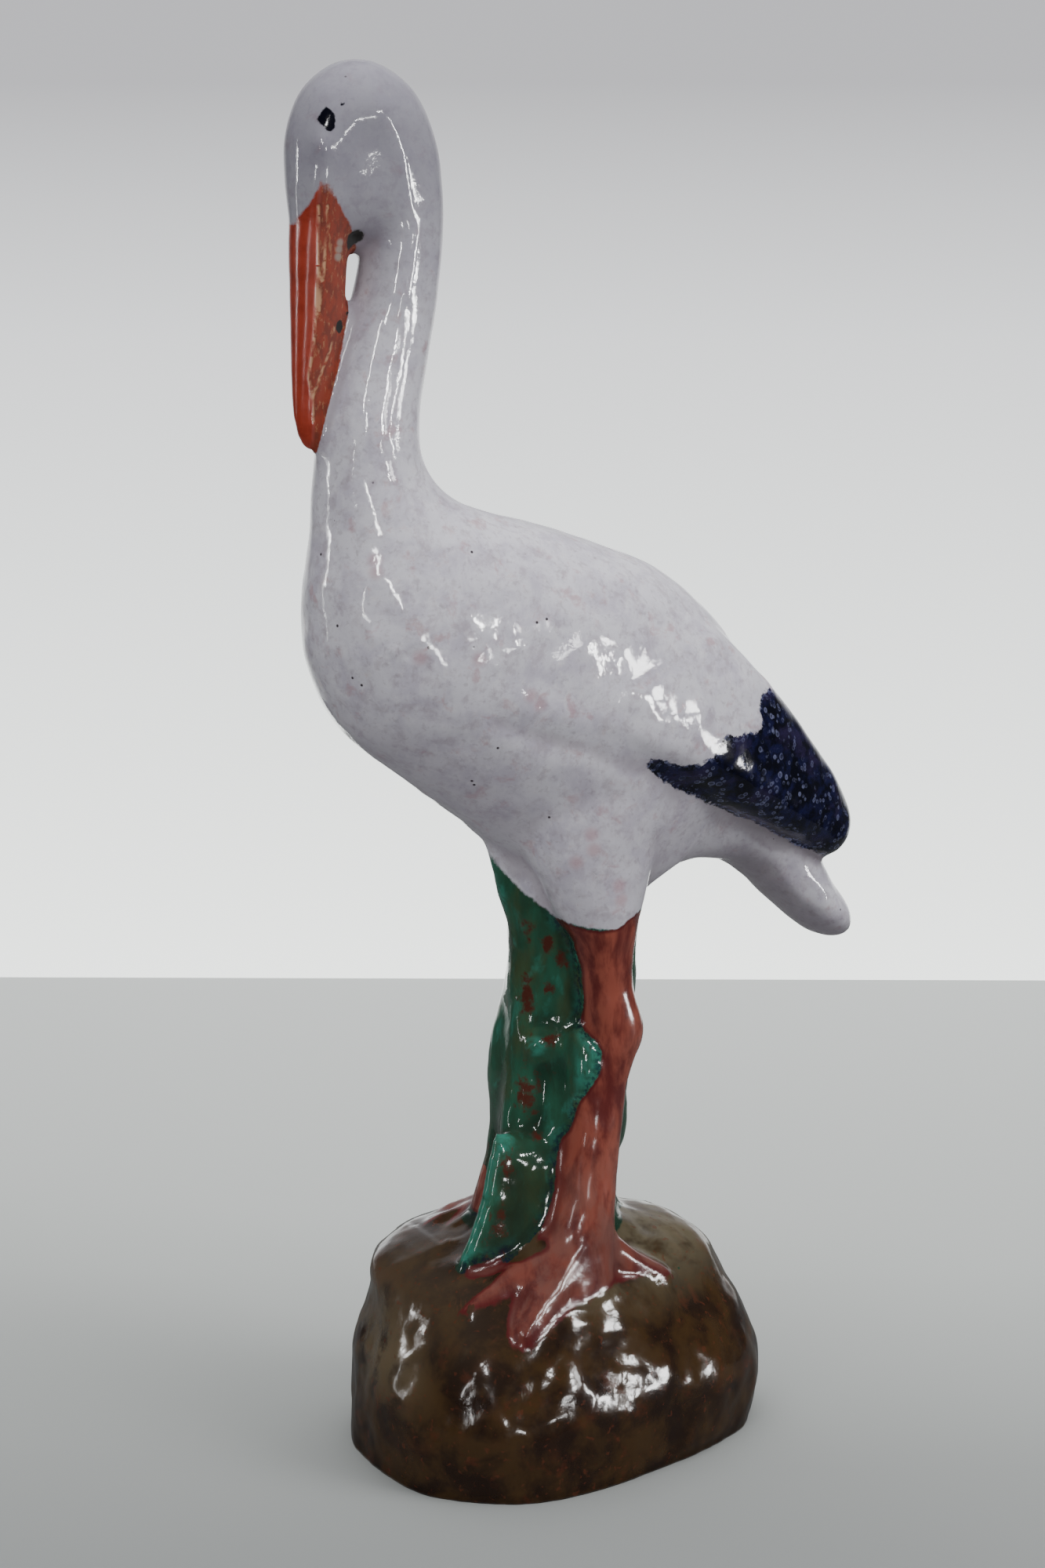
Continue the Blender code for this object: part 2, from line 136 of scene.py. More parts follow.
def through(rows: Sequence[Row], t: float) -> list[float]:
    """Follows a smooth curve through equally spaced rows of numbers.

    Args:
        rows: the rows that it runs through.
        t: how far along it, from 0 to 1.

    Returns:
        The row of numbers there.
    """
    last = len(rows) - 1
    at = min(max(t, 0.0), 1.0) * last
    i = min(int(at), last - 1)
    f = at - i
    a, b, c, d = (rows[min(max(k, 0), last)] for k in (i - 1, i, i + 1, i + 2))
    return [q + 0.5 * f * (r - p + f * (2 * p - 5 * q + 4 * r - s + f * (3 * (q - r) + s - p)))
            for p, q, r, s in zip(a, b, c, d)]


def in_plane(ribs: Sequence[Row]) -> list[Row]:
    """Ribs drawn in the bird's middle plane, with the y of both their points, which they leave out."""
    return [(rib[0], 0.0, rib[1], rib[2], 0.0, *rib[3:]) for rib in ribs]


def ring(middle: Vector, along: Vector, across: Vector, squareness: float, count: int = 56) -> list[Vector]:
    """Points round an ellipse, or round a squarer form of it.

    Args:
        middle: its middle.
        along: one half axis.
        across: the other half axis.
        squareness: 2 for an ellipse, and more for a squarer form.
        count: how many points it has.

    Returns:
        The points.
    """
    power = 2.0 / squareness
    points = []
    for k in range(count):
        c, s = math.cos(math.tau * k / count), math.sin(math.tau * k / count)
        points.append(middle + along * math.copysign(abs(c) ** power, c)
                      + across * math.copysign(abs(s) ** power, s))
    return points


def loft(zone: Zone, rings: list[list[Vector]]) -> Form:
    """Makes a closed form over rings, with a point at each end and all faces turned outwards.

    Args:
        zone: the zone the form is painted as.
        rings: its rings, in order, all with the same count of points.

    Returns:
        The closed form.
    """
    mesh = bmesh.new()
    rows = [[mesh.verts.new(p) for p in points] for points in rings]
    ends = [mesh.verts.new(sum(points, Vector()) / len(points)) for points in (rings[0], rings[-1])]
    count = len(rings[0])
    for low, high in zip(rows, rows[1:]):
        for k in range(count):
            n = (k + 1) % count
            mesh.faces.new((low[k], low[n], high[n], high[k]))
    for k in range(count):
        n = (k + 1) % count
        mesh.faces.new((ends[0], rows[0][n], rows[0][k]))
        mesh.faces.new((ends[1], rows[-1][k], rows[-1][n]))
    bmesh.ops.recalc_face_normals(mesh, faces=mesh.faces)
    mesh.verts.index_update()
    form = Form(zone, [v.co.copy() for v in mesh.verts],
                [tuple(v.index for v in face.verts) for face in mesh.faces])
    mesh.free()
    return form


@dataclass(frozen=True)
class Modeller:
    """Turns rows of the drawing into closed forms."""

    pose: Pose
    limb_count: int = 24

    def ribbed(self, zone: Zone, ribs: Sequence[Row], stations: int, side: Side = Side.NEAR) -> Form:
        """Makes a loft over ribs.

        Args:
            zone: the zone the form is painted as.
            ribs: rows of the upper point, the lower point, the half thickness and the squareness.
            stations: how many rings are put along it.
            side: the far side is the near side's mirror image.

        Returns:
            The closed form.
        """
        rows = [through(ribs, i / stations) for i in range(stations + 1)]
        uppers = [self.pose.place(r[0], r[1] * side.value, r[2]) for r in rows]
        lowers = [self.pose.place(r[3], r[4] * side.value, r[5]) for r in rows]
        middles = [(a + b) / 2 for a, b in zip(uppers, lowers)]
        rings = []
        for i, row in enumerate(rows):
            ahead = middles[min(i + 1, stations)] - middles[max(i - 1, 0)]
            chord = (uppers[i] - lowers[i]) / 2
            across = ahead.cross(chord).normalized() * row[6] * self.pose.step
            rings.append(ring(middles[i], chord, across, row[7]))
        return loft(zone, rings)

    def levels(self, zone: Zone, sections: Sequence[Row], stations: int, side: Side = Side.NEAR) -> Form:
        """Makes a loft over level sections.

        Args:
            zone: the zone the form is painted as.
            sections: rows of the middle's x, y and z, the half length, the half width, the squareness.
            stations: how many rings are put along it.
            side: the far side is the near side's mirror image.

        Returns:
            The closed form.
        """
        step = self.pose.step
        rings = []
        for i in range(stations + 1):
            x, y, z, length, width, squareness = through(sections, i / stations)
            along, across = Vector((length, 0, 0)) * step, Vector((0, width, 0)) * step
            rings.append(ring(self.pose.place(x, y * side.value, z), along, across, squareness))
        return loft(zone, rings)

    def limb(self, zone: Zone, points: Sequence[Row], side: Side = Side.NEAR, smooth: int = 7) -> Form:
        """Makes a round limb that follows points in soft bends, without touching them.

        Args:
            zone: the zone the form is painted as.
            points: rows of x, y, z and the radius.
            side: the far side is the near side's mirror image.
            smooth: how many rings are put in each bend.

        Returns:
            The closed form.
        """
        bends = [tuple(p) for p in points]
        halves = [tuple((a + b) / 2 for a, b in zip(p, q)) for p, q in zip(bends, bends[1:])]
        starts = [bends[0]] + halves[1:-1]
        stops = halves[1:-1] + [bends[-1]]
        path = []
        for start, bend, stop in zip(starts, bends[1:-1], stops):
            for i in range(smooth):
                t = i / smooth
                path.append([(1 - t) ** 2 * a + 2 * t * (1 - t) * b + t * t * c
                             for a, b, c in zip(start, bend, stop)])
        path.append(list(bends[-1]))
        middles = [self.pose.place(p[0], p[1] * side.value, p[2]) for p in path]
        rings = []
        up = Vector((0.0, 1.0, 0.0))
        for i, middle in enumerate(middles):
            ahead = (middles[min(i + 1, len(middles) - 1)] - middles[max(i - 1, 0)]).normalized()
            up = (up - ahead * up.dot(ahead)).normalized()
            radius = path[i][3] * self.pose.step
            rings.append(ring(middle, up * radius, ahead.cross(up) * radius, 2.0, self.limb_count))
        return loft(zone, rings)


# The sub-assemblies

@dataclass(frozen=True)
class Lump:
    """A soft lump or hollow of the mound.

    Its bearing is in degrees from +X, its level runs from 0 (the table) to 1 (the top).
    """

    bearing: float
    level: float
    spread: float
    rise: float
    stand: float

    def stands(self, angle: float, level: float) -> float:
        """How far it stands out at a bearing in radians and a level."""
        turn = math.remainder(angle - math.radians(self.bearing), math.tau) / math.radians(self.spread)
        return self.stand * math.exp(-turn ** 2 - ((level - self.level) / self.rise) ** 2)


@dataclass
class Mound:
    """The dark rock that the bird stands on."""

    height: float = 0.0500
    length: float = 0.0915
    width: float = 0.0655
    bulge: float = 0.0026
    bulge_shares: tuple[float, float] = (0.55, 0.45)
    bulge_top: float = 0.7
    bulge_skew: float = 0.7
    crest: tuple[float, float] = (0.004, 0.007)
    taper: float = 0.24
    footprint_squareness: float = 2.35
    shoulder_roundness: float = 2.7
    steepness: float = 3.0
    front_steepness: float = 1.9
    far_steepness: float = 1.1
    near_steepness: float = -0.2
    around: int = 120
    searched: tuple[float, float] = (0.3, 0.999)
    halvings: int = 30
    levels: tuple[float, ...] = (-0.12, 0.0, 0.03, 0.06, 0.1, 0.15, 0.21, 0.27, 0.34, 0.4, 0.46, 0.52, 0.58,
                                 0.63, 0.68, 0.73, 0.77, 0.81, 0.85, 0.88, 0.91, 0.935, 0.955, 0.97, 0.98,
                                 0.99, 0.995, 0.998)
    lumps: tuple[Lump, ...] = (
        Lump(150, 0.84, 34, 0.10, 0.0046),
        Lump(145, 0.985, 40, 0.03, -0.0060),
        Lump(160, 0.62, 32, 0.13, -0.0017),
        Lump(-28, 0.66, 30, 0.20, -0.0022),
        Lump(-95, 0.45, 26, 0.22, 0.0008),
        Lump(-60, 0.74, 22, 0.14, 0.0007),
        Lump(60, 0.50, 30, 0.20, 0.0010),
    )

    def footprint(self, angle: float) -> float:
        """Distance from its middle line to its edge on the table.

        Args:
            angle: the bearing, in radians from +X.

        Returns:
            The distance, in metres.
        """
        c, s = math.cos(angle), math.sin(angle)
        half = self.width / 2 * (1.0 - self.taper * c)
        square = self.footprint_squareness
        return (abs(c / (self.length / 2)) ** square + abs(s / half) ** square) ** (-1 / square)

    def reach(self, angle: float, level: float) -> float:
        """Distance from its middle line to its skin.

        Args:
            angle: the bearing, in radians from +X.
            level: the height, from 0 at the table to 1 at the top.

        Returns:
            The distance, in metres.
        """
        c, s = math.cos(angle), math.sin(angle)
        power = self.steepness + self.front_steepness * max(-c, 0.0) ** 2
        power += self.near_steepness * max(-s, 0.0) ** 2 + self.far_steepness * max(s, 0.0) ** 2
        even, behind = self.bulge_shares
        round_level = min(level / self.bulge_top, 1.0) ** self.bulge_skew
        swell = self.bulge * (even + behind * c) * math.sin(math.pi * round_level)
        out = sum(lump.stands(angle, level) for lump in self.lumps)
        return (self.footprint(angle) + swell + out) * (1.0 - level ** power) ** (1 / self.shoulder_roundness)

    def middle(self, level: float) -> Vector:
        """The middle of a level ring, which moves to the far side as it rises."""
        return Vector((*self.crest, 0)) * level ** 2

    def form(self) -> Form:
        """Builds the mound, from below the table to its top.

        Returns:
            The closed form.
        """
        rings = []
        for t in self.levels:
            middle = self.middle(max(t, 0.0)) + Vector((0, 0, t * self.height))
            angles = [math.tau * k / self.around for k in range(self.around)]
            rings.append([middle + Vector((math.cos(a), math.sin(a), 0)) * self.reach(a, max(t, 0.0))
                          for a in angles])
        return loft(Zone.MOUND, rings)

    def top(self, x: float, y: float) -> float:
        """Finds the height of its skin over the table.

        Args:
            x: the place along X, in metres.
            y: the place along Y, in metres.

        Returns:
            The height, in metres.
        """
        low, high = self.searched
        for _ in range(self.halvings):
            level = (low + high) / 2
            gap = Vector((x, y, 0)) - self.middle(level)
            if gap.length < self.reach(math.atan2(gap.y, gap.x), level):
                low = level
            else:
                high = level
        return low * self.height


@dataclass
class Bird:
    """The white bird with its crook of neck, its bill and its wings."""

    maker: Modeller
    neck_and_body: tuple[Row, ...] = (
        (-60, 216, -48.2, 215, 5.8, 2),
        (-61, 228, -48, 222, 8, 2),
        (-60.2, 238.2, -47.4, 227, 9.3, 2),
        (-55.4, 247.2, -46.2, 229.4, 9.9, 2),
        (-45.6, 251.4, -44.8, 230, 10, 2),
        (-35.2, 246.4, -43.4, 228.6, 9.6, 2),
        (-29.4, 235.8, -43, 225, 9, 2),
        (-27.6, 224, -43.6, 220, 8.4, 2),
        (-27.8, 212, -44.9, 211, 8.2, 2),
        (-29.3, 200.5, -47.2, 202, 8.5, 2),
        (-31.6, 189, -50.6, 192, 9.4, 2),
        (-33.3, 178.5, -54.3, 179, 10.6, 2),
        (-32.4, 169.5, -55.6, 166, 12, 2),
        (-26.2, 162.2, -56.4, 154, 15.2, 2),
        (-16.2, 158.2, -57.8, 142, 19.2, 2.1),
        (-4.8, 155, -57, 128, 22.8, 2.1),
        (8, 150.6, -51, 115, 25, 2.1),
        (20, 145.6, -41, 106, 25.8, 2.1),
        (29.4, 139, -29.4, 97, 25.6, 2.1),
        (36.4, 131.8, -18, 87.8, 24.2, 2.1),
        (42, 124, -8.6, 79.2, 21.6, 2.2),
        (46.4, 116, 0.6, 70.6, 17.4, 2.2),
        (49.4, 108.4, 9, 69, 13.2, 2.1),
        (52.4, 101.4, 17.2, 75.2, 11.4, 2),
        (55.6, 94.6, 25, 78.3, 10.8, 2),
        (59.2, 87.4, 33, 79, 10.4, 2),
        (62.6, 79.6, 41.6, 76.6, 10, 2),
        (66.4, 72, 50.6, 68.8, 9.6, 2),
        (70.9, 65.8, 58.8, 61.4, 8.6, 2),
        (72.9, 60.8, 65.8, 57.4, 6, 2),
        (73.1, 58.8, 71, 57.5, 2.2, 2),
    )
    bill: tuple[Row, ...] = (
        (-59.4, 229, -48.6, 224, 6.4, 2.2),
        (-60.4, 217, -48.4, 216, 6, 2.3),
        (-60.5, 206, -48.9, 207, 5.4, 2.3),
        (-60.6, 196, -49.8, 197.5, 4.7, 2.2),
        (-60.7, 187, -51.4, 189, 3.9, 2.1),
        (-60.4, 179.5, -53.2, 181.5, 3.1, 2),
        (-59.2, 174.5, -54.8, 176.5, 2.2, 2),
        (-57.4, 172.2, -56, 173.2, 0.9, 2),
    )
    wing: tuple[Row, ...] = (
        (-30, -4, 150, -36, -10, 136, 4, 2.2),
        (-14, -6.5, 149.4, -25, -16, 124, 8.6, 2.3),
        (3.6, -7, 145, -12, -19.4, 114.6, 10.8, 2.5),
        (17.4, -7, 139.8, 3, -20.2, 108.4, 11, 2.6),
        (30, -6.6, 132, 16, -19.4, 102.4, 10.8, 2.6),
        (41, -6, 121.8, 28.4, -17.4, 96, 9.8, 2.6),
        (51.5, -4.4, 110.8, 40, -14.6, 89.8, 8.4, 2.6),
        (60.8, -3.4, 99.6, 50.6, -11.8, 84, 7, 2.5),
        (66.6, -2.6, 91.4, 58.2, -9.6, 79.4, 5.6, 2.4),
        (69.2, -2.2, 87, 62.4, -8, 77.6, 4.2, 2.2),
        (69.7, -2, 84.8, 65.6, -6.2, 78.2, 2.2, 2),
    )
    back: tuple[Row, ...] = (
        (38, 123, 32, 108, 6, 2),
        (49.6, 110.4, 41, 97, 6.6, 2),
        (58.6, 99.4, 50, 87, 6.2, 2),
        (65, 91.2, 57, 81, 5, 2),
        (68, 86.8, 62, 79, 3.4, 2),
    )
    crook_web: tuple[Row, ...] = (
        (-46.6, 1.2, 212.6, 1.4, 1.8, 2),
        (-46.5, 0.8, 215.2, 3.4, 4.6, 2),
        (-46.2, 0.2, 218.4, 6.4, 7.4, 2),
        (-46, 0, 222.6, 8.6, 9, 2),
        (-45.6, 0, 229, 9.8, 9.8, 2),
        (-45.2, 0, 236, 9.6, 9.6, 2),
        (-45, 0, 242, 6.4, 7, 2),
    )
    thigh: tuple[Row, ...] = (
        (4, -10, 106, 20, 12, 2),
        (3, -10.6, 96, 18, 12, 2),
        (2, -11.4, 86, 14.6, 10.8, 2),
        (2.4, -12.4, 78, 11.6, 9.4, 2),
        (3, -13.2, 72, 9.2, 8, 2),
        (3.6, -14, 67.6, 7.2, 6.8, 2),
        (3.8, -14, 63, 6, 5.9, 2),
    )
    bridge: tuple[Row, ...] = (
        (-46.6, 0, 202, 1.4),
        (-48.6, 0, 199.8, 2),
        (-50, 0, 196.6, 2.4),
        (-51.6, 0, 192, 2.4),
    )

    def forms(self) -> list[Form]:
        """Builds the bird above its legs.

        Returns:
            All its closed forms.
        """
        make = self.maker
        made = [
            make.ribbed(Zone.WHITE, in_plane(self.neck_and_body), 220),
            make.ribbed(Zone.BILL, in_plane(self.bill), 60),
            make.ribbed(Zone.WHITE, in_plane(self.back), 40),
            make.levels(Zone.WHITE, self.crook_web, 40),
            make.limb(Zone.WHITE, self.bridge),
        ]
        for side in Side:
            made.append(make.ribbed(Zone.WHITE, self.wing, 90, side))
            made.append(make.levels(Zone.WHITE, self.thigh, 50, side))
        return made


@dataclass(frozen=True)
class Toe:
    """One toe that runs out from the leg over the mound, its bearing in degrees from -X towards -Y."""

    bearing: float
    length: float
    half_width: float


@dataclass
class Legs:
    """The two legs and feet."""

    maker: Modeller
    mound: Mound
    leg: tuple[Row, ...] = (
        (3.6, -14, 76, 8.2),
        (3.8, -14, 67, 6.9),
        (4.2, -14, 58, 5.7),
        (5.2, -14, 51, 6.2),
        (6.8, -14, 46.5, 6.8),
        (4.8, -14, 41, 5.9),
        (3.4, -14, 34, 5.4),
        (1.8, -14, 24, 6),
        (0.2, -14.2, 14, 6.4),
        (-1, -14.6, 4, 6.6),
        (-1.4, -15, -4, 6.8),
        (-1.4, -15, -12, 6.8),
    )
    palm: tuple[Row, ...] = (
        (-4, -17, 0, 3.6, 3.2, 2),
        (-5.4, -17.4, -3, 5.4, 4.8, 2),
        (-6.4, -17.6, -6.4, 6.6, 5.6, 2),
        (-7.2, -17.8, -12, 7.2, 6, 2),
    )
    toes: tuple[Toe, ...] = (
        Toe(-13, 27, 2.6),
        Toe(5, 29.6, 3),
        Toe(28, 23, 4.1),
        Toe(12, 18, 4.6),
        Toe(177, 20, 2.8),
    )
    far_reach: float = 0.8
    near_instep: float = 12.0
    far_instep: float = 3.0
    instep_rise: float = 0.7
    root: float = 1.5
    root_share: float = 0.75
    knuckle: float = 2.5
    knuckle_swell: float = 1.0
    far_girth: float = 0.75
    slimming: float = 0.4
    lift: float = 1.2
    sink: float = 0.55
    drop: float = 0.8
    stations: int = 14

    def foot(self, side: Side) -> list[Form]:
        """Makes the toes of one foot, laid over the mound, each running a little way up the leg.

        Args:
            side: the foot's side. The far foot is shorter and slimmer.

        Returns:
            The closed form of each toe.
        """
        reach, girth, instep = ((1.0, 1.0, self.near_instep) if side is Side.NEAR
                                else (self.far_reach, self.far_girth, self.far_instep))
        step = self.maker.pose.step
        ankle = Vector(self.leg[-1][:2])
        made = []
        for toe in self.toes:
            turn = math.radians(toe.bearing)
            ahead = Vector((-math.cos(turn), -math.sin(turn)))
            start = ankle + ahead * self.root
            points = [(start.x, start.y, instep, toe.half_width * girth * self.root_share)]
            for i in range(self.stations):
                t = i / (self.stations - 1)
                spot = ankle + ahead * (self.knuckle + (toe.length * reach - self.knuckle) * t)
                top = self.mound.top(spot.x * step, spot.y * step * side.value)
                ground = (top - self.mound.height) / step
                radius = girth * (toe.half_width * (1.0 - self.slimming * t ** 2.5)
                                  + self.knuckle_swell * (1 - t) ** 2)
                rise = self.instep_rise * instep * (1 - t) ** 3
                z = ground + rise + self.lift - self.sink * radius - self.drop * t ** 3
                points.append((spot.x, spot.y, z, radius))
            made.append(self.maker.limb(Zone.LEG, points, side))
        return made

    def forms(self) -> list[Form]:
        """Builds both legs and feet.

        Returns:
            All their closed forms.
        """
        made = []
        for side in Side:
            made.append(self.maker.limb(Zone.LEG, self.leg, side))
            made.append(self.maker.levels(Zone.LEG, self.palm, 20, side))
            made.extend(self.foot(side))
        return made


@dataclass
class Plant:
    """The green plant that stands between the legs and holds the bird up."""

    maker: Modeller
    trunk: tuple[Row, ...] = (
        (3, 0, 90, 17, 10.5, 2.2),
        (3, 0, 76, 15.6, 10.5, 2.3),
        (3.4, 0.4, 62, 14.6, 10, 2.4),
        (2.8, 0.4, 48, 14.6, 9.6, 2.4),
        (1.6, 0.4, 34, 14.8, 9.6, 2.4),
        (0.4, 0.4, 20, 14.2, 9.6, 2.4),
        (-1.4, 0.4, 8, 14.6, 10, 2.3),
        (-3, 0.4, -2, 17, 11.5, 2.2),
        (-3.4, 0.4, -12, 20, 13, 2),
    )
    blade_front: tuple[Row, ...] = (
        (-14.6, 1, 88, 3),
        (-10.6, 1, 78, 4),
        (-6.8, 0, 66, 4.6),
        (-6.6, -1, 54, 4.8),
        (-7.8, -2, 42, 5),
        (-9, -3, 28, 5.4),
        (-11, -3, 14, 5.8),
        (-13.6, -3, -2, 6.6),
        (-14, -3, -12, 7),
    )
    blade_far: tuple[Row, ...] = (
        (-5, 5, 68, 4),
        (-4.4, 6, 56, 4.8),
        (-5.6, 7, 45, 6),
        (-7.4, 7, 34, 6.8),
        (-6.6, 7, 24, 6),
        (-8.4, 7, 12, 6),
        (-12, 7, 0, 6.6),
        (-13, 7, -10, 7),
    )
    blade_back: tuple[Row, ...] = (
        (13.6, 5, 76, 4.4),
        (15.8, 5, 64, 5.2),
        (16.4, 5, 52, 4.8),
        (15.4, 5, 40, 4.6),
        (13.6, 5, 29, 4.2),
        (15.2, 5, 19, 5),
        (11, 5, 10, 4.2),
        (11, 5, 0, 5),
        (14.6, 5, -10, 7),
    )
    knob: tuple[Row, ...] = (
        (1, -5, 40, 3),
        (-2, -6.8, 42.4, 4.8),
        (-6.4, -7, 43.2, 4.6),
        (-10.6, -5.4, 41.4, 3),
    )
    lobe: tuple[Row, ...] = (
        (-1.6, -11, 46, 3),
        (0, -14.6, 40.4, 4.4),
        (-1, -14.4, 33, 3.8),
        (-3.6, -12, 24, 2.6),
    )
    leaf: tuple[Row, ...] = (
        (-19.4, -7.2, 25, -7.4, -9.8, 21.6, 1.8, 2.6),
        (-20.6, -7.6, 20, -6.6, -10.6, 17.4, 3, 2.8),
        (-23, -8.2, 10.2, -8.6, -11.4, 7.6, 3.2, 2.8),
        (-26, -8.4, 1.6, -10.6, -11.4, -0.4, 3.3, 2.8),
        (-28, -8, -3, -12, -10.6, -5, 3, 2.8),
        (-28, -7.8, -5.4, -12.4, -9.6, -7.4, 2.4, 2.6),
    )
    web: tuple[Row, ...] = (
        (0.4, -6, 75, 3.8),
        (-0.8, -6.2, 62, 4.2),
        (-1.2, -6.6, 50, 4.2),
        (-2.2, -7.6, 38, 4.2),
        (-4, -8.6, 26, 4.4),
        (-6, -9.4, 14, 4.8),
        (-8.4, -10, 4, 5),
        (-10.6, -10.4, -5, 5),
    )

    def forms(self) -> list[Form]:
        """Builds the plant.

        Returns:
            All its closed forms.
        """
        stems = (self.blade_front, self.blade_far, self.blade_back, self.knob, self.lobe, self.web)
        made = [self.maker.limb(Zone.PLANT, stem) for stem in stems]
        made.append(self.maker.ribbed(Zone.PLANT, self.leaf, 40))
        made.append(self.maker.levels(Zone.PLANT, self.trunk, 60))
        return made


# The relief and the painted layout

def outline_distance(places: np.ndarray, outline: Sequence[tuple[float, float]], closed: bool) -> np.ndarray:
    """Distance of places in a plane to a broken line; for a closed one it is negative inside.

    Args:
        places: the two coordinates of each place, in steps of the drawing.
        outline: the line's corners.
        closed: whether the last corner joins the first.

    Returns:
        One distance a place, in steps.
    """
    corners = np.array(outline, float)
    ends = np.roll(corners, -1, axis=0)
    if not closed:
        corners, ends = corners[:-1], ends[:-1]
    nearest = np.full(len(places), np.inf)
    inside = np.zeros(len(places), bool)
    for a, b in zip(corners, ends):
        run = b - a
        t = np.clip(((places - a) @ run) / (run @ run), 0.0, 1.0)
        nearest = np.minimum(nearest, np.linalg.norm(places - a - t[:, None] * run, axis=1))
        crosses = (a[1] > places[:, 1]) != (b[1] > places[:, 1])
        rise = run[1] if abs(run[1]) > 1e-9 else 1e-9
        inside ^= crosses & (places[:, 0] < a[0] + (places[:, 1] - a[1]) * run[0] / rise)
    return np.where(inside, -nearest, nearest) if closed else nearest


def rail(line: Line, levels: np.ndarray) -> np.ndarray:
    """The x of a line that runs down from its first corner, at each level."""
    return np.interp(levels, [p[1] for p in line][::-1], [p[0] for p in line][::-1])


def below(flat: np.ndarray, line: Line) -> np.ndarray:
    """How far places lie below a line that runs from left to right.

    Args:
        flat: the x and z of each place, in steps.
        line: the line's corners.

    Returns:
        One distance a place, in steps, negative above the line.
    """
    away = outline_distance(flat, line, closed=False)
    level = np.interp(flat[:, 0], [p[0] for p in line], [p[1] for p in line])
    return np.where(flat[:, 1] < level, away, -away)


@dataclass(frozen=True)
class Stroke:
    """A soft ridge down a line on the flank, or a groove where its rise is below zero, in steps.

    Its width may differ on the line's front side, towards the bill.
    """

    line: Line
    rise: float
    width: float
    front: float | None = None

    def lift(self, grid: np.ndarray) -> np.ndarray:
        """How far it lifts the skin.

        Args:
            grid: the places, in steps, one a row.

        Returns:
            One lift a place, in steps.
        """
        flat = grid[:, [0, 2]]
        away = outline_distance(flat, self.line, closed=False)
        width = np.where(flat[:, 0] < rail(self.line, flat[:, 1]), self.front or self.width, self.width)
        return self.rise * np.exp(-(away / width) ** 2)


@dataclass(frozen=True)
class Dab:
    """A round mark at one place of the skin, in steps: a swelling, a pit, or only a patch of colour."""

    x: float
    y: float
    z: float
    radius: float
    tall: float = 1.0
    rise: float = 0.0
    falloff: float = 1.6

    def nearness(self, grid: np.ndarray) -> np.ndarray:
        """How near places are to its middle.

        Args:
            grid: the places, in steps, one a row.

        Returns:
            One number a place: 1 at its middle, 0 at its rim and below that outside.
        """
        gap = grid - np.array((self.x, self.y, self.z))
        gap[:, 2] /= self.tall
        return 1.0 - np.linalg.norm(gap, axis=1) / self.radius

    def lift(self, grid: np.ndarray) -> np.ndarray:
        """How far it lifts the skin at each place."""
        return self.rise * np.exp(-self.falloff * (1.0 - self.nearness(grid)) ** 2)


@dataclass(frozen=True)
class Lumpiness:
    """How uneven the hand left one zone: the size and the height of its lumps, in steps."""

    zone: Zone
    size: float
    height: float


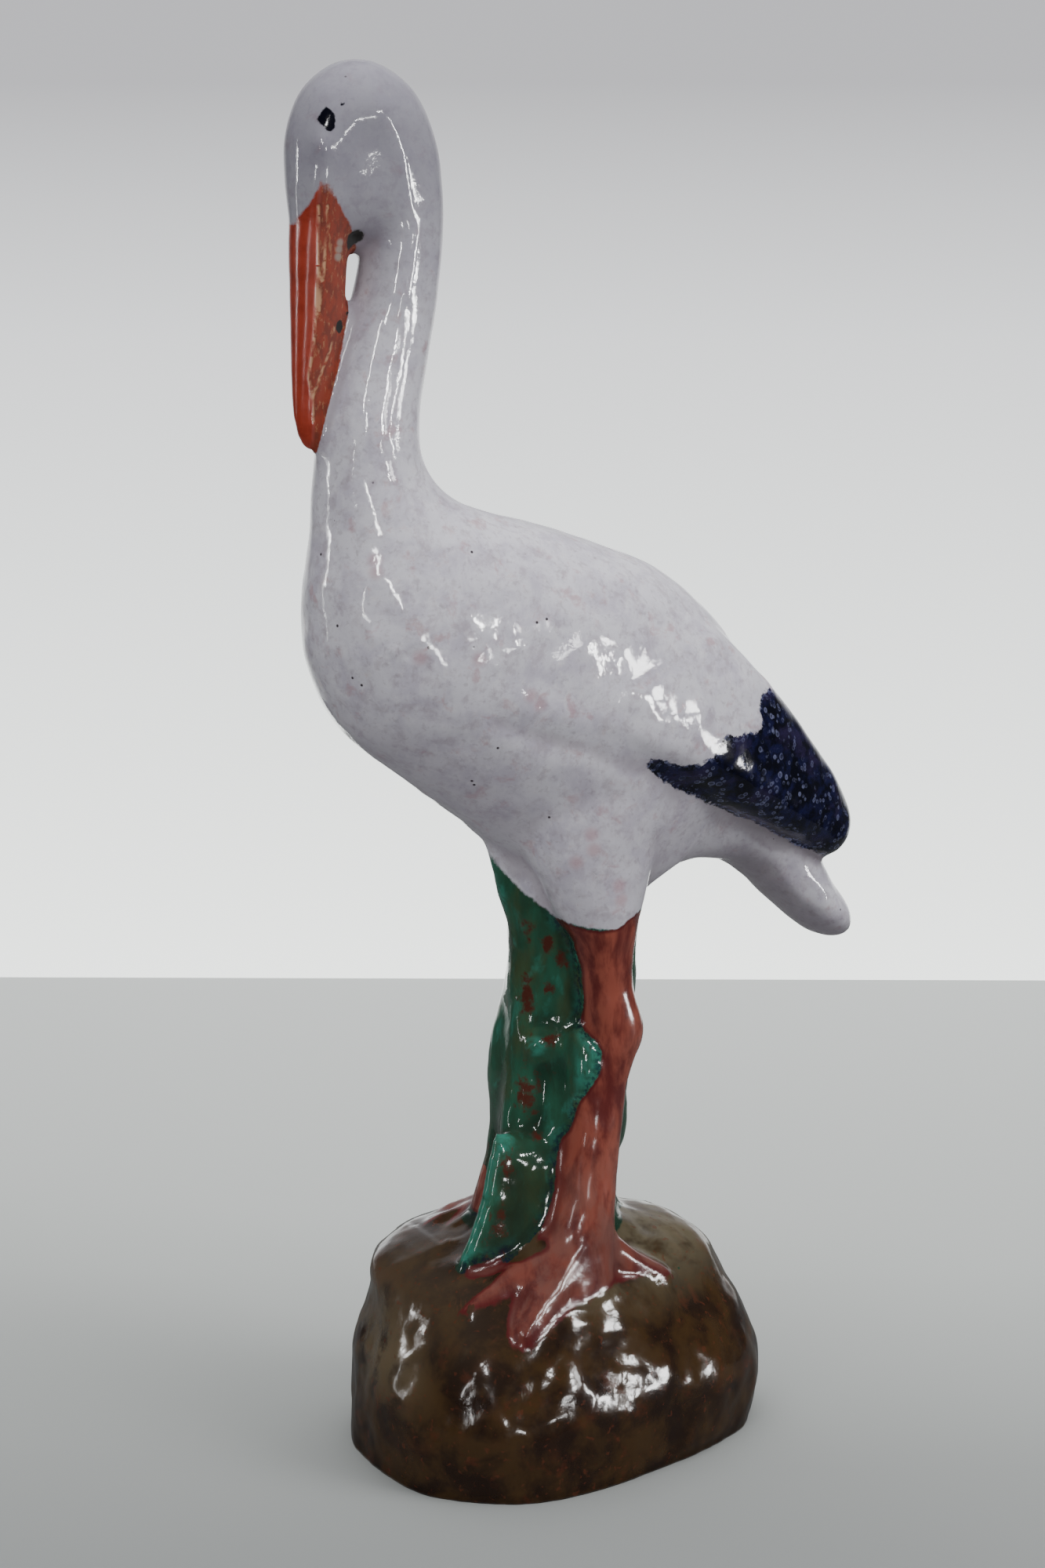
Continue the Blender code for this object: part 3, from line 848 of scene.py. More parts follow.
@dataclass
class Relief:
    """The low relief that slip, tools and fingers left on the skin."""

    strokes: tuple[Stroke, ...] = (
        # the two long facets down the side of the neck
        Stroke(((-44, 240.6), (-41.4, 235.6), (-39.8, 231.2), (-39.2, 227.4), (-38.9, 222.5), (-38.5, 216.2),
                (-38.8, 211), (-39.8, 205.6)), 1, 3.6, 4.4),
        Stroke(((-42.4, 200), (-44.4, 193.8), (-45.9, 188.6), (-47.2, 183), (-47.2, 177)), 0.42, 3.6,
               4.6),
        # the fold under the wing, with the wing's lower rim above it
        Stroke(((-24.7, 117.4), (-17.8, 114.5), (-10.8, 112), (-3.6, 109.5), (4, 106.3), (10.1, 103.9),
                (18, 98.4)), -0.55, 2.6),
        Stroke(((-19, 121.6), (-9, 117.4), (0, 114.6), (9, 111), (18, 107), (28, 102),
                (40, 96), (52, 89)), 0.55, 3.4),
        # the groove along the tail
        Stroke(((44.6, 84.6), (48.4, 80.6), (51.4, 77.4), (55, 72.6), (59.4, 68.6)), -0.45, 1.3),
        Stroke(((49, 78), (51.3, 74.9), (53.6, 71.9), (55.8, 68.8)), 0.90, 2.2),
        # the front blade's ridge, down the middle of the plant
        Stroke(((-13, 78), (-12.6, 64), (-12.2, 52)), 0.3, 1.2),
    )
    dabs: tuple[Dab, ...] = (
        Dab(-56.6, -8, 234.4, 2.4, 1.2, 0.55),
        Dab(-56.6, 8, 234.4, 2.4, 1.2, 0.55),
        Dab(-48, -3.8, 215.9, 1.7, 1.5, -1.3),
        Dab(-51.4, -3.4, 198.3, 1.2, 1.2, -0.7),
        Dab(-50, -2.6, 201, 1, 1, 0.4),
        Dab(-17.4, -25.2, 121.8, 1.5, 1, -0.35),
        Dab(-42.3, -20.6, 133.6, 1.6, 1, -0.3),
        Dab(-29.6, -24, 133.2, 1.6, 1, -0.35),
        Dab(-26.6, -24.6, 129.6, 1.5, 1, 0.3),
        Dab(-50.2, -15.9, 136.6, 1.5, 1.3, 0.40),
        Dab(-46.6, -18.4, 133.6, 1.4, 0.8, 0.40),
        Dab(-43.6, -19.9, 132.6, 1.3, 0.8, -0.30),
        Dab(-30.6, -23.8, 133.6, 2, 0.6, 0.30),
        Dab(-25.4, -24.7, 130.6, 1.8, 0.6, 0.30),
        Dab(-21.6, -25, 133.4, 1.5, 0.8, 0.28),
        Dab(24, -26, -24, 21, 1, 2.2),
    )
    unevenness: tuple[Lumpiness, ...] = (
        Lumpiness(Zone.WHITE, 6.5, 0.32),
        Lumpiness(Zone.WHITE, 3, 0.05),
        Lumpiness(Zone.BILL, 4, 0.05),
        Lumpiness(Zone.LEG, 6, 0.20),
        Lumpiness(Zone.LEG, 3, 0.10),
        Lumpiness(Zone.PLANT, 6, 0.32),
        Lumpiness(Zone.PLANT, 2.6, 0.07),
        Lumpiness(Zone.MOUND, 14, 1.05),
        Lumpiness(Zone.MOUND, 6, 0.34),
        Lumpiness(Zone.MOUND, 2.8, 0.13),
    )
    calm_neck: tuple[float, float] = (150.0, 176.0)
    neck_share: float = 0.28
    blend: float = 0.8

    def lift(self, grid: np.ndarray, depths: Depths) -> np.ndarray:
        """How far the relief lifts each point of the skin along its normal.

        Args:
            grid: the points, in steps.
            depths: their distances to the forms of each zone, in steps.

        Returns:
            One lift a point, in steps.
        """
        total = sum(stroke.lift(grid) for stroke in self.strokes) + sum(dab.lift(grid) for dab in self.dabs)
        near = {zone: np.exp(-np.clip(depth, -1.0, FAR_AWAY) / self.blend) for zone, depth in depths.items()}
        whole = sum(near.values())
        calm = np.interp(grid[:, 2], self.calm_neck, (1.0, self.neck_share))
        for lumps in self.unevenness:
            share = near[lumps.zone] / whole * (calm if lumps.zone is Zone.WHITE else 1.0) * lumps.height
            for i in np.nonzero(share > 0.01)[0]:
                total[i] += share[i] * noise.noise(Vector(grid[i]) / lumps.size)
        return total


@dataclass
class PaintedBorders:
    """Where one colour of glaze ends and the next begins, as brushed on, in steps of the drawing.

    All are drawn over the flank, in x and z, but for the foot, which is drawn from above, in x and y, and
    for the near leg, whose outline is drawn over a flank turned by the slant, in x + slant y and z.
    """

    bill_root: Line = (
        (-62, 217.9), (-60.2, 218.4), (-59.9, 219.9), (-59.4, 220.9), (-58.2, 223.2), (-57.2, 225.6),
        (-56.6, 228.2), (-55.7, 228.3), (-54.6, 226.2), (-53.2, 223.4), (-51.6, 220.8), (-49.9, 218.6),
        (-48.6, 216), (-47, 214), (-44, 213),
    )
    plant_top: Line = (
        (-20, 88), (-17.4, 86), (-16.3, 84.2), (-15, 81.6), (-12.9, 79.1), (-11.1, 76.6),
        (-8.2, 73.8), (-5.6, 71.5), (3, 70.4), (10, 73.6), (18, 76),
    )
    leg_top: Line = (
        (-12, 73), (-6.8, 72.3), (-4.9, 71.2), (-2.5, 70.6), (0.4, 70.3), (3.8, 70.8), (6.3, 72.5),
        (8.7, 73.1), (16, 74),
    )
    near_leg: Line = (
        (-1.4, 76), (-0.9, 71.5), (3.1, 67.3), (5.3, 60.5), (5.9, 53.3), (5.2, 48.4), (6.2, 46.9),
        (9.1, 44.8), (10.3, 42.6), (9.7, 38.2), (7.3, 34.8), (4.9, 31.8), (3.6, 28.1), (2.6, 25.3),
        (0.4, 22.7), (-0.5, 18.6), (-1.1, 11.9), (-2.4, 7.9), (-4.1, 3.5), (-5.6, 1.6), (30, 1.6),
        (30, 76),
    )
    foot: Line = (
        (-11.5, -18), (-17.1, -16.6), (-20.5, -12.9), (-25.4, -10.6), (-27.9, -10.2), (-27.3, -11.6),
        (-24, -13.9), (-20.7, -15.6), (-24.8, -16.9), (-29.3, -16.6), (-32.3, -16.6), (-30.4, -18.6),
        (-26, -19.8), (-22.3, -19.9), (-21, -20.1), (-23.2, -22.6), (-24.4, -24.9), (-24.2, -26.4),
        (-22.2, -27.8), (-19.6, -28), (-16, -27), (-11.4, -25.5), (-8.6, -24.4), (-2.3, -21.9),
        (3, -20.2), (7.4, -18.9), (11.6, -18.2), (16.8, -17.7), (19.9, -16.2), (15.4, -15.2),
        (10, -14.2), (6.5, -13), (6, -9.6), (-4, -8.6), (-10, -13.4),
    )
    wing_end: Line = (
        (8.4, 106.5), (9.6, 107.6), (12.2, 107.3), (14.6, 106.2), (17.7, 105.8), (21.3, 105.9),
        (23.4, 106.9), (24.6, 107.4), (25.4, 109.4), (26.9, 110.9), (28.4, 111), (30.2, 110.2),
        (32.7, 110.7), (34.8, 110.9), (36.4, 110.5), (38, 111), (38.4, 113.2), (38, 115.4),
        (39, 117.4), (41.9, 118.4), (45.9, 117.6), (56, 114), (76, 96), (76, 78),
        (66, 76.6), (62, 77.6), (60.9, 78.1), (58.1, 79.7), (53.3, 81.5), (47.3, 85), (41.4, 88.5),
        (34.2, 91.8), (25, 96.1), (19.1, 98.8), (14, 101.7), (10.2, 104.4),
    )
    eye: Line = (
        (-55.3, 241.8), (-54.5, 240.9), (-54, 239.5), (-54.2, 237.8), (-54.9, 236.8), (-55.6, 237.1),
        (-56.6, 238.1), (-57.2, 239.1), (-56.7, 240), (-56.1, 240.9),
    )
    gape: Line = (
        (-56.9, 222.6), (-56.6, 218.4), (-56.6, 210.4), (-57, 201.8), (-57.3, 195.5), (-58.2, 188.4),
        (-57.4, 183.5), (-57, 179),
    )
    upper_bill: Line = (
        (-55.2, 222.4), (-54.7, 218.4), (-55.5, 208.8), (-56.4, 201),
    )
    lower_bill: Line = (
        (-52.8, 198.4), (-53.4, 194.5), (-55.8, 188.6), (-57.2, 184.5),
    )
    slant: float = -0.487
    bill_levels: tuple[float, float] = (165.0, 232.0)
    bill_back: float = -46.0
    root_level: float = 205.0
    root_lap: float = 1.6
    ankle: tuple[float, float] = (-1.4, -15.0)
    far_foot: float = 0.8
    foot_top: float = 9.0
    heel: tuple[float, float] = (-8.0, 9.0)
    heel_top: float = 2.6
    heel_lap: float = 0.8
    heel_gap: float = 0.6
    far_foot_lap: float = 1.2
    shank_lap: float = 3.0
    sides_meet: float = 1.0
    shank_foot: float = 1.0
    far_shank_foot: float = 2.0
    plant_lap: float = 3.0
    plant_foot: float = 10.0
    plant_back: float = 24.0
    clear_of_toes: tuple[float, float] = (-14.5, 8.0)
    mound_top: float = 40.0
    eye_dot: tuple[float, float] = (-52.4, 242.3)
    eye_dot_radius: float = 0.45
    eye_aside: float = 4.0
    rust: tuple[Dab, ...] = (
        Dab(-9.8, -5.6, 68.2, 1.4, 2), Dab(-6.5, -7.8, 65.1, 1.2, 1.6), Dab(-10.3, -4.3, 53, 2, 2.6),
        Dab(-6.7, -7.4, 55, 1.5, 1.3), Dab(-11.1, -6.4, 39, 1.2, 1.3), Dab(-10.8, -7.2, 32, 3, 1.3),
        Dab(-9.1, -8.3, 23, 1.5, 1.7), Dab(-7.5, -9.6, 44.5, 2.2, 0.8), Dab(-4, -9, 37, 1.4, 2.2),
        Dab(-17.6, -9.8, 16, 2, 2.4), Dab(-20.2, -10.6, 5, 2.2, 2.4),
        Dab(-9.8, -10.6, 22.6, 1.1, 2.4), Dab(-20.6, -11.6, -3, 2.4, 0.8),
        Dab(-3.6, -9, 62, 1.4, 1.8), Dab(15, 4, 52, 2.6, 1.8), Dab(12, 8, 36, 2.4, 1.8),
        Dab(-8, 9, 44, 2.6, 2), Dab(-4, 10, 28, 2.4, 1.6),
    )
    # the pits by the slit between bill and neck: bare clay, painted nearly black as their shade
    raw: tuple[Dab, ...] = (
        Dab(-48.2, -4, 215.8, 2.1, 1.5), Dab(-51.4, -3.4, 198.2, 1.2, 1.2),
        Dab(-49.9, -2, 200.6, 1, 0.9), Dab(-47.4, 3.8, 215.8, 1.8, 1.2),
    )


@dataclass
class PaintLayout:
    """The painted layout of the skin: signed distances to borders, positive inside each colour, in steps."""

    borders: PaintedBorders
    grid: np.ndarray
    depths: Depths

    @property
    def flat(self) -> np.ndarray:
        """The x and z of each point of the skin."""
        return self.grid[:, [0, 2]]

    def bill(self) -> np.ndarray:
        """Measures how far each point lies inside the red of the bill.

        Returns:
            One distance a point, in steps.
        """
        x, _, z = self.grid.T
        lines, white, bill = self.borders, self.depths[Zone.WHITE], self.depths[Zone.BILL]
        root = z > lines.root_level
        inside = np.minimum(np.where(root, FAR_AWAY, white - bill), below(self.flat, lines.bill_root))
        outside = (x > lines.bill_back) | (z < lines.bill_levels[0]) | (z > lines.bill_levels[1])
        inside = np.where(outside, -FAR_AWAY, inside)
        return np.where(root, np.minimum(inside, lines.root_lap - bill), inside)

    def foot(self, side: Side) -> np.ndarray:
        """Measures how far each point lies inside the red of one foot.

        Args:
            side: the foot's side. The far foot is drawn smaller about its ankle.

        Returns:
            One distance a point, in steps.
        """
        x, y, z = self.grid.T
        lines, leg = self.borders, self.depths[Zone.LEG]
        share = 1.0 if side is Side.NEAR else lines.far_foot
        ankle = np.array(lines.ankle)
        seen = (np.stack([x, y * side.value], axis=1) - ankle) / share + ankle
        inside = -outline_distance(seen, lines.foot, closed=True) * share
        heel = np.minimum(lines.heel_lap - leg, self.depths[Zone.MOUND] - lines.heel_gap)
        at_heel = (x > lines.heel[0]) & (x < lines.heel[1]) & (z < lines.heel_top)
        inside = np.maximum(inside, np.where(at_heel, heel, -FAR_AWAY))
        inside = np.minimum(inside, self.depths[Zone.PLANT] - leg + lines.heel_gap)
        if side is Side.FAR:
            inside = np.minimum(inside, lines.far_foot_lap - leg)
        return np.where((z < lines.foot_top) & (y * side.value < 0.0), inside, -FAR_AWAY)

    def legs(self) -> np.ndarray:
        """Measures how far each point lies inside the red of both legs and feet.

        Returns:
            One distance a point, in steps.
        """
        x, y, z = self.grid.T
        lines = self.borders
        close = lines.shank_lap - self.depths[Zone.LEG]
        turned = np.stack([x + lines.slant * y, z], axis=1)
        shank = np.minimum(-outline_distance(turned, lines.near_leg, closed=True), close)
        shank = np.where((y < lines.sides_meet) & (z > lines.shank_foot), shank, -FAR_AWAY)
        far = np.minimum.reduce([self.depths[Zone.PLANT] - self.depths[Zone.LEG], close,
                                 z - lines.far_shank_foot])
        far = np.where(y > lines.sides_meet, far, -FAR_AWAY)
        leg = np.maximum.reduce([shank, far, self.foot(Side.NEAR), self.foot(Side.FAR)])
        return np.minimum(leg, below(self.flat, lines.leg_top))

    def plant(self) -> np.ndarray:
        """Measures how far each point lies inside the green of the plant.

        Returns:
            One distance a point, in steps.
        """
        x, y, z = self.grid.T
        lines, plant = self.borders, self.depths[Zone.PLANT]
        low = np.minimum(self.depths[Zone.MOUND] - plant, lines.plant_lap - plant)
        inside = np.minimum(np.where(z > lines.plant_foot, FAR_AWAY, low), below(self.flat, lines.plant_top))
        toes_y, toes_z = lines.clear_of_toes
        return np.where((x > lines.plant_back) | ((y < toes_y) & (z < toes_z)), -FAR_AWAY, inside)

    def eye(self) -> np.ndarray:
        """Measures how far each point lies inside the eye or the dot beside it, on both sides.

        Returns:
            One distance a point, in steps.
        """
        lines = self.borders
        eye = -outline_distance(self.flat, lines.eye, closed=True)
        dot = lines.eye_dot_radius - np.linalg.norm(self.flat - np.array(lines.eye_dot), axis=1)
        return np.where(np.abs(self.grid[:, 1]) > lines.eye_aside, np.maximum(eye, dot), -FAR_AWAY)

    def parts(self, normals: np.ndarray, crest: np.ndarray) -> dict[str, np.ndarray]:
        """All parts of the layout.

        Args:
            normals: the skin's normal at each point.
            crest: how much it stands out there, below zero in a hollow.

        Returns:
            One number a point for each part, by name.
        """
        x, _, z = self.grid.T
        lines, flat = self.borders, self.flat
        white, ground = self.depths[Zone.WHITE], self.depths[Zone.MOUND]
        return {
            "bill": self.bill(),
            "leg": self.legs(),
            "plant": self.plant(),
            "mound": np.where(z < lines.mound_top, FAR_AWAY, white - ground),
            "wing": -outline_distance(flat, lines.wing_end, closed=True),
            "eye": self.eye(),
            "incised": np.minimum.reduce([outline_distance(flat, line, closed=False)
                                          for line in (lines.gape, lines.upper_bill, lines.lower_bill)]),
            "flank": x - rail(lines.gape, z),
            "rust": np.maximum.reduce([dab.nearness(self.grid) for dab in lines.rust]),
            "raw": np.maximum.reduce([dab.nearness(self.grid) for dab in lines.raw]),
            "under": -normals[:, 2],
            "crest": crest,
        }


# Finishes

def linear(code: str) -> tuple[float, float, float, float]:
    """A Blender colour from an sRGB hex code such as #D8D4DA."""
    parts = [int(code[i:i + 2], 16) / 255 for i in (1, 3, 5)]
    return (*(p / 12.92 if p <= 0.04045 else ((p + 0.055) / 1.055) ** 2.4 for p in parts), 1.0)


def add(tree: bpy.types.NodeTree, kind: str, inputs: dict | None = None, out: int | str = 0,
        **settings) -> Socket:
    """Adds a shader node with its settings and its input sockets set or linked.

    Args:
        tree: the node tree it is added to.
        kind: the node's type, without the words that all shader nodes start with.
        inputs: sockets by name or number, each a value or an output socket to link.
        out: which output is given back.
        settings: the node's own options.

    Returns:
        The output socket.
    """
    made = tree.nodes.new("ShaderNode" + kind)
    for name, value in settings.items():
        setattr(made, name, value)
    for name, value in (inputs or {}).items():
        if isinstance(value, Socket):
            tree.links.new(value, made.inputs[name])
        else:
            made.inputs[name].default_value = value
    return made.outputs[out]


@dataclass(frozen=True)
class Glaze:
    """A lead-tin glaze with its pigment: its even colour, what pools in it, and where it lies thin."""

    even: str
    pooled: str
    thin: str
    roughness: float


# Tin glaze over red clay: opaque milk white with a lilac cast, clouded where the cobalt from the kiln settled
WHITE_TIN_GLAZE = Glaze(even="#E0DEE7", pooled="#B0A8BC", thin="#B98C93", roughness=0.07)
# Cobalt and manganese painted thickly on the raw white: blue-black, with white bubbles breaking through
COBALT_GLAZE = Glaze(even="#14163A", pooled="#050614", thin="#8A8FB8", roughness=0.10)
# Iron red enamel, smooth and satin at the front of the bill, worn to the buff clay on its flank
IRON_RED_ENAMEL = Glaze(even="#AC402E", pooled="#7A1E12", thin="#BC8C60", roughness=0.22)
# Manganese pink over white, dull red where the brush ran along the legs
MANGANESE_PINK_GLAZE = Glaze(even="#944E40", pooled="#602826", thin="#8A5E54", roughness=0.17)
# Copper green, turquoise where it runs thin over ridges, with blotches of iron brown
COPPER_GREEN_GLAZE = Glaze(even="#2F5F4A", pooled="#2C4A38", thin="#3C9482", roughness=0.08)
# Manganese brown over the whole rock; its greyish colour on the top is a painted sheen
BROWN_GLAZE = Glaze(even="#3E2C18", pooled="#241710", thin="#6C6450", roughness=0.13)
# Bare clay where no glaze ran in, painted nearly black as the shade deep in the pits by the bill's slit
BARE_CLAY_IN_SHADE = "#0E0907"
# Iron that bled brown-red through the green
IRON_BLOTCH = "#54211A"


@dataclass
class PaintedSkin:
    """The one material of the figurine, in which each zone's glaze meets the next."""

    tree: bpy.types.NodeTree = field(init=False)
    where: Socket = field(init=False)
    ragged: Socket = field(init=False)
    parts: dict[str, Socket] = field(init=False)
    pinholes: tuple[Row, ...] = (
        (-28.9, -18.1, 152.8), (-14.7, -23.8, 138.8), (-17, -24, 138.3), (-31.1, -23.7, 134.2),
        (-40.1, -21.5, 134.4), (-55.3, -9.9, 138.2), (-56.2, -3.5, 152.1), (-52.9, -11.7, 127.5),
        (-51.4, -13, 126.1), (-24.8, -21.7, 112.4), (-28.1, -16, 104.6), (-27.4, -15.6, 103.7),
        (-11.3, -18.2, 95.8), (66.5, -7.9, 65),
    )
    flushes: tuple[Row, ...] = (
        (-48.8, -14.4, 151.8), (-48.6, -14.6, 149.4), (-41.7, -20.9, 132.3), (-19, -25.2, 123.4),
        (-17, -25.2, 121.6), (-6, -20.3, 85.9), (-3.1, -21.7, 91.9), (-2.6, -21.7, 88.6),
        (3.5, -21.8, 80.2), (4, -21.8, 77), (-30, -24, 131.6),
    )
    grey_marks: tuple[Row, ...] = ((-52.1, -5.4, 213.7), (-51.9, -5.4, 215.0), (-52.3, -5.4, 212.2))
    laid_out: tuple[str, ...] = ("wing", "eye", "mound", "plant", "leg", "bill", "raw", "flank", "incised",
                                 "under", "crest", "rust")
    # a glaze's is about 1.5; a little less gives the photograph's darker sheen
    index: float = 1.45
    brush_mm: float = 1.5
    brush_reach: float = 1.6
    stray_mm: float = 9.0
    iron_mm: float = 2.6
    iron_wander: tuple[float, float] = (5.0, -2.6)
    distortion: float = 0.3
    orange_peel_mm: float = 2.0
    peel_depth_mm: float = 0.10
    groove_depth_mm: float = 0.25
    dull: float = 0.85

    def mask(self, value: Socket | str, low: float, high: float, *others: Socket) -> Socket:
        """A mask that rises softly from 0 at the low value to 1 at the high one, held in by other masks.

        Args:
            value: what the mask is read from, or the name of a part of the layout.
            low: the value at which it is 0.
            high: the value at which it is 1.
            others: the masks that hold it in.

        Returns:
            The mask.
        """
        value = self.parts[value] if isinstance(value, str) else value
        made = add(self.tree, "MapRange", {"Value": value, "From Min": low, "From Max": high},
                   interpolation_type="SMOOTHSTEP")
        for other in others:
            made = add(self.tree, "Math", {0: made, 1: other}, operation="MULTIPLY")
        return made

    def patches(self, size_mm: float, low: float, high: float, detail: float = 4.0, rough: float = 0.6,
                stretch: Row = (1.0, 1.0, 1.0), within: Sequence[Socket] = ()) -> Socket:
        """A mask of soft patches.

        Args:
            size_mm: how wide a patch is.
            low: the cloudiness at which a patch begins.
            high: the cloudiness at which it is full.
            detail: how finely its edge is broken up.
            rough: how strongly its edge is broken up.
            stretch: below 1 draws the patches out along that axis.
            within: the masks that hold them in.

        Returns:
            The mask, from 0 to 1.
        """
        spot = add(self.tree, "Mapping", {"Vector": self.where, "Scale": stretch})
        cloud = add(self.tree, "TexNoise", {"Vector": spot, "Scale": MM_PER_M / size_mm, "Detail": detail,
                                            "Roughness": rough, "Distortion": self.distortion})
        return self.mask(cloud, low, high, *within)

    def coats(self, colour: Socket | str, *coats: tuple[Socket | str, Socket, float]) -> Socket:
        """Lays colours one over another.

        Args:
            colour: the undermost, as a hex code or a socket.
            coats: the colour, the mask and the strength of each that is laid over it, in order.

        Returns:
            The colour.
        """
        for over, mask, strength in coats:
            under, over = (linear(c) if isinstance(c, str) else c for c in (colour, over))
            share = add(self.tree, "Math", {0: mask, 1: strength}, operation="MULTIPLY")
            colour = add(self.tree, "Mix", {0: share, 6: under, 7: over}, out=2, data_type="RGBA")
        return colour

    def painted(self, name: str, soft: float, ragged: float) -> Socket:
        """The mask of one painted colour, with the brush's uneven edge.

        Args:
            name: the colour's part of the layout.
            soft: half the width over which the edge fades, in mm.
            ragged: how far the edge wanders, in mm.

        Returns:
            The mask, from 0 to 1.
        """
        edge = add(self.tree, "Math", {0: self.ragged, 1: ragged, 2: self.parts[name]},
                   operation="MULTIPLY_ADD")
        return self.mask(edge, -soft, soft)

    def near_places(self, places: Sequence[Row], rim_mm: float, middle_mm: float) -> Socket:
        """A mask of small round spots at given places of the drawing.

        Args:
            places: x, y and z of each, in steps.
            rim_mm: distance from its middle at which a spot ends.
            middle_mm: distance from its middle at which it is full.

        Returns:
            The mask, from 0 to 1.
        """
        pose = Pose()
        nearest, *others = (add(self.tree, "VectorMath", {0: self.where, 1: pose.place(*place)}, out="Value",
                                operation="DISTANCE") for place in places)
        for away in others:
            nearest = add(self.tree, "Math", {0: nearest, 1: away}, operation="MINIMUM")
        return self.mask(nearest, rim_mm * MM, middle_mm * MM)

    def bubbles(self, apart_mm: float, rim: float, width: float) -> Socket:
        """Rings of many sizes, where bubbles in the glaze broke and healed.

        Args:
            apart_mm: the distance from one bubble to the next.
            rim: the largest ring's radius, as a share of that distance.
            width: how wide the ring's edge is, as the same share.

        Returns:
            The mask, from 0 to 1.
        """
        away = add(self.tree, "TexVoronoi", {"Vector": self.where, "Scale": MM_PER_M / apart_mm},
                   out="Distance")
        inner = self.mask(away, rim - 2.4 * width, rim - width)
        inner = add(self.tree, "MapRange", {"Value": inner, "To Min": 0.25})
        return self.mask(away, rim, rim - width, inner)

    def white(self) -> Socket:
        """Paints the white tin glaze: lilac clouds and flecks, a few pink flushes, dark pinholes and painted
        shade.

        Returns:
            The colour.
        """
        glaze = WHITE_TIN_GLAZE
        # masks of painted shade on the tail's underside and low at the rear under the wing
        tail = self.mask("across", 26 * MM, 44 * MM, self.mask("under", -0.35, 0.6))
        rump = self.mask("across", -14 * MM, 0.0, self.mask("across", 36 * MM, 22 * MM),
                         self.mask("height", 165 * MM, 145 * MM))
        stray = add(self.tree, "TexVoronoi", {"Vector": self.where, "Scale": MM_PER_M / self.stray_mm},
                    out="Distance")
        return self.coats(
            glaze.even,
            # clouds and flecks in it
            (glaze.pooled, self.patches(7.5, 0.40, 0.68, 6.0, 0.65), 0.55),
            ("#A3939F", self.patches(3.4, 0.48, 0.68, 5.0, 0.65), 0.42),
            ("#8D7E8A", self.patches(1.4, 0.54, 0.72, 2.0), 0.30),
            ("#ECEAEF", self.patches(2.4, 0.54, 0.74, 3.0), 0.45),
            (glaze.thin, self.patches(4.8, 0.58, 0.72), 0.50),
            # painted shade: greyer on the head, on undersides, in hollows, on the tail's underside and at the
            # rear
            ("#83818D", self.mask("height", 228 * MM, 288 * MM), 0.78),
            ("#8A828E", self.mask("under", 0.05, 0.95), 0.72),
            ("#A196A0", self.mask("crest", 0.0, -0.06), 0.5),
            ("#625A62", tail, 0.62),
            ("#8A828E", rump, 0.26),
            # flushes, pinholes and stray specks
            (glaze.thin, self.near_places(self.flushes, 2.4, 0.4), 0.5),
            ("#30222A", self.near_places(self.pinholes, 0.42, 0.2), 0.95),
            ("#4A3A42", self.mask(stray, 0.034, 0.018), 0.7))

    def wing_ends(self) -> Socket:
        """Paints the blue-black wing ends, with pale bubbles that broke through the glaze.

        Returns:
            The colour.
        """
        glaze = COBALT_GLAZE
        small, large = self.bubbles(1.6, 0.38, 0.10), self.bubbles(2.9, 0.30, 0.07)
        return self.coats(
            glaze.pooled,
            (glaze.even, self.patches(3.2, 0.42, 0.66), 1.0),
            ("#2C2346", self.patches(6.0, 0.5, 0.66, stretch=(0.6, 1.0, 1.0)), 0.7),
            (glaze.thin, self.patches(5.0, 0.42, 0.62, within=[small]), 0.35),
            (glaze.thin, self.patches(9.0, 0.44, 0.60, within=[large]), 0.45),
            (glaze.thin, self.mask("wing", 1.4, 0.2, self.patches(1.0, 0.5, 0.6)), 0.4))

    def bill(self) -> Socket:
        """Paints the bill: smooth red at the front, worn to the buff clay on its flank.

        Returns:
            The colour.
        """
        glaze = IRON_RED_ENAMEL
        flank = self.mask("flank", -0.3, 0.7)
        drawn_down = (1.0, 1.0, 0.4)
        return self.coats(
            glaze.even,
            (glaze.pooled, self.patches(4.0, 0.35, 0.7), 0.5),
            ("#8A2E10", flank, 0.85),
            ("#5E2212", self.patches(1.5, 0.42, 0.62, stretch=drawn_down, within=[flank]), 0.6),
            (glaze.thin, self.patches(0.9, 0.54, 0.68, 4.0, 0.7, drawn_down, [flank]), 0.4),
            ("#948C82", self.near_places(self.grey_marks, 1.2, 0.4), 0.75),
            ("#D0A078", self.mask("incised", 0.45, 0.12, self.patches(2.0, 0.34, 0.5)), 0.75))

    def legs(self) -> Socket:
        """Paints the legs and feet, darker along the brushed edges, paler on the toes, with painted shade low
        on the feet.

        Returns:
            The colour.
        """
        glaze = MANGANESE_PINK_GLAZE
        low = self.mask("height", 80 * MM, 52 * MM)
        return self.coats(
            glaze.pooled,
            (glaze.even, self.patches(4.0, 0.32, 0.62, stretch=(1.0, 1.0, 0.35)), 1.0),
            (glaze.thin, self.patches(5.0, 0.40, 0.62, stretch=(1.0, 1.0, 0.5), within=[low]), 0.6),
            (glaze.thin, self.mask("crest", 0.06, 0.12), 0.2),
            (glaze.pooled, self.mask("crest", -0.01, -0.07), 0.7),
            # painted shade: darker low down on the feet
            ("#462A28", self.mask("height", 62 * MM, 48 * MM), 0.45),
            ("#52161A", self.mask("leg", 1.0, 0.2), 0.8))

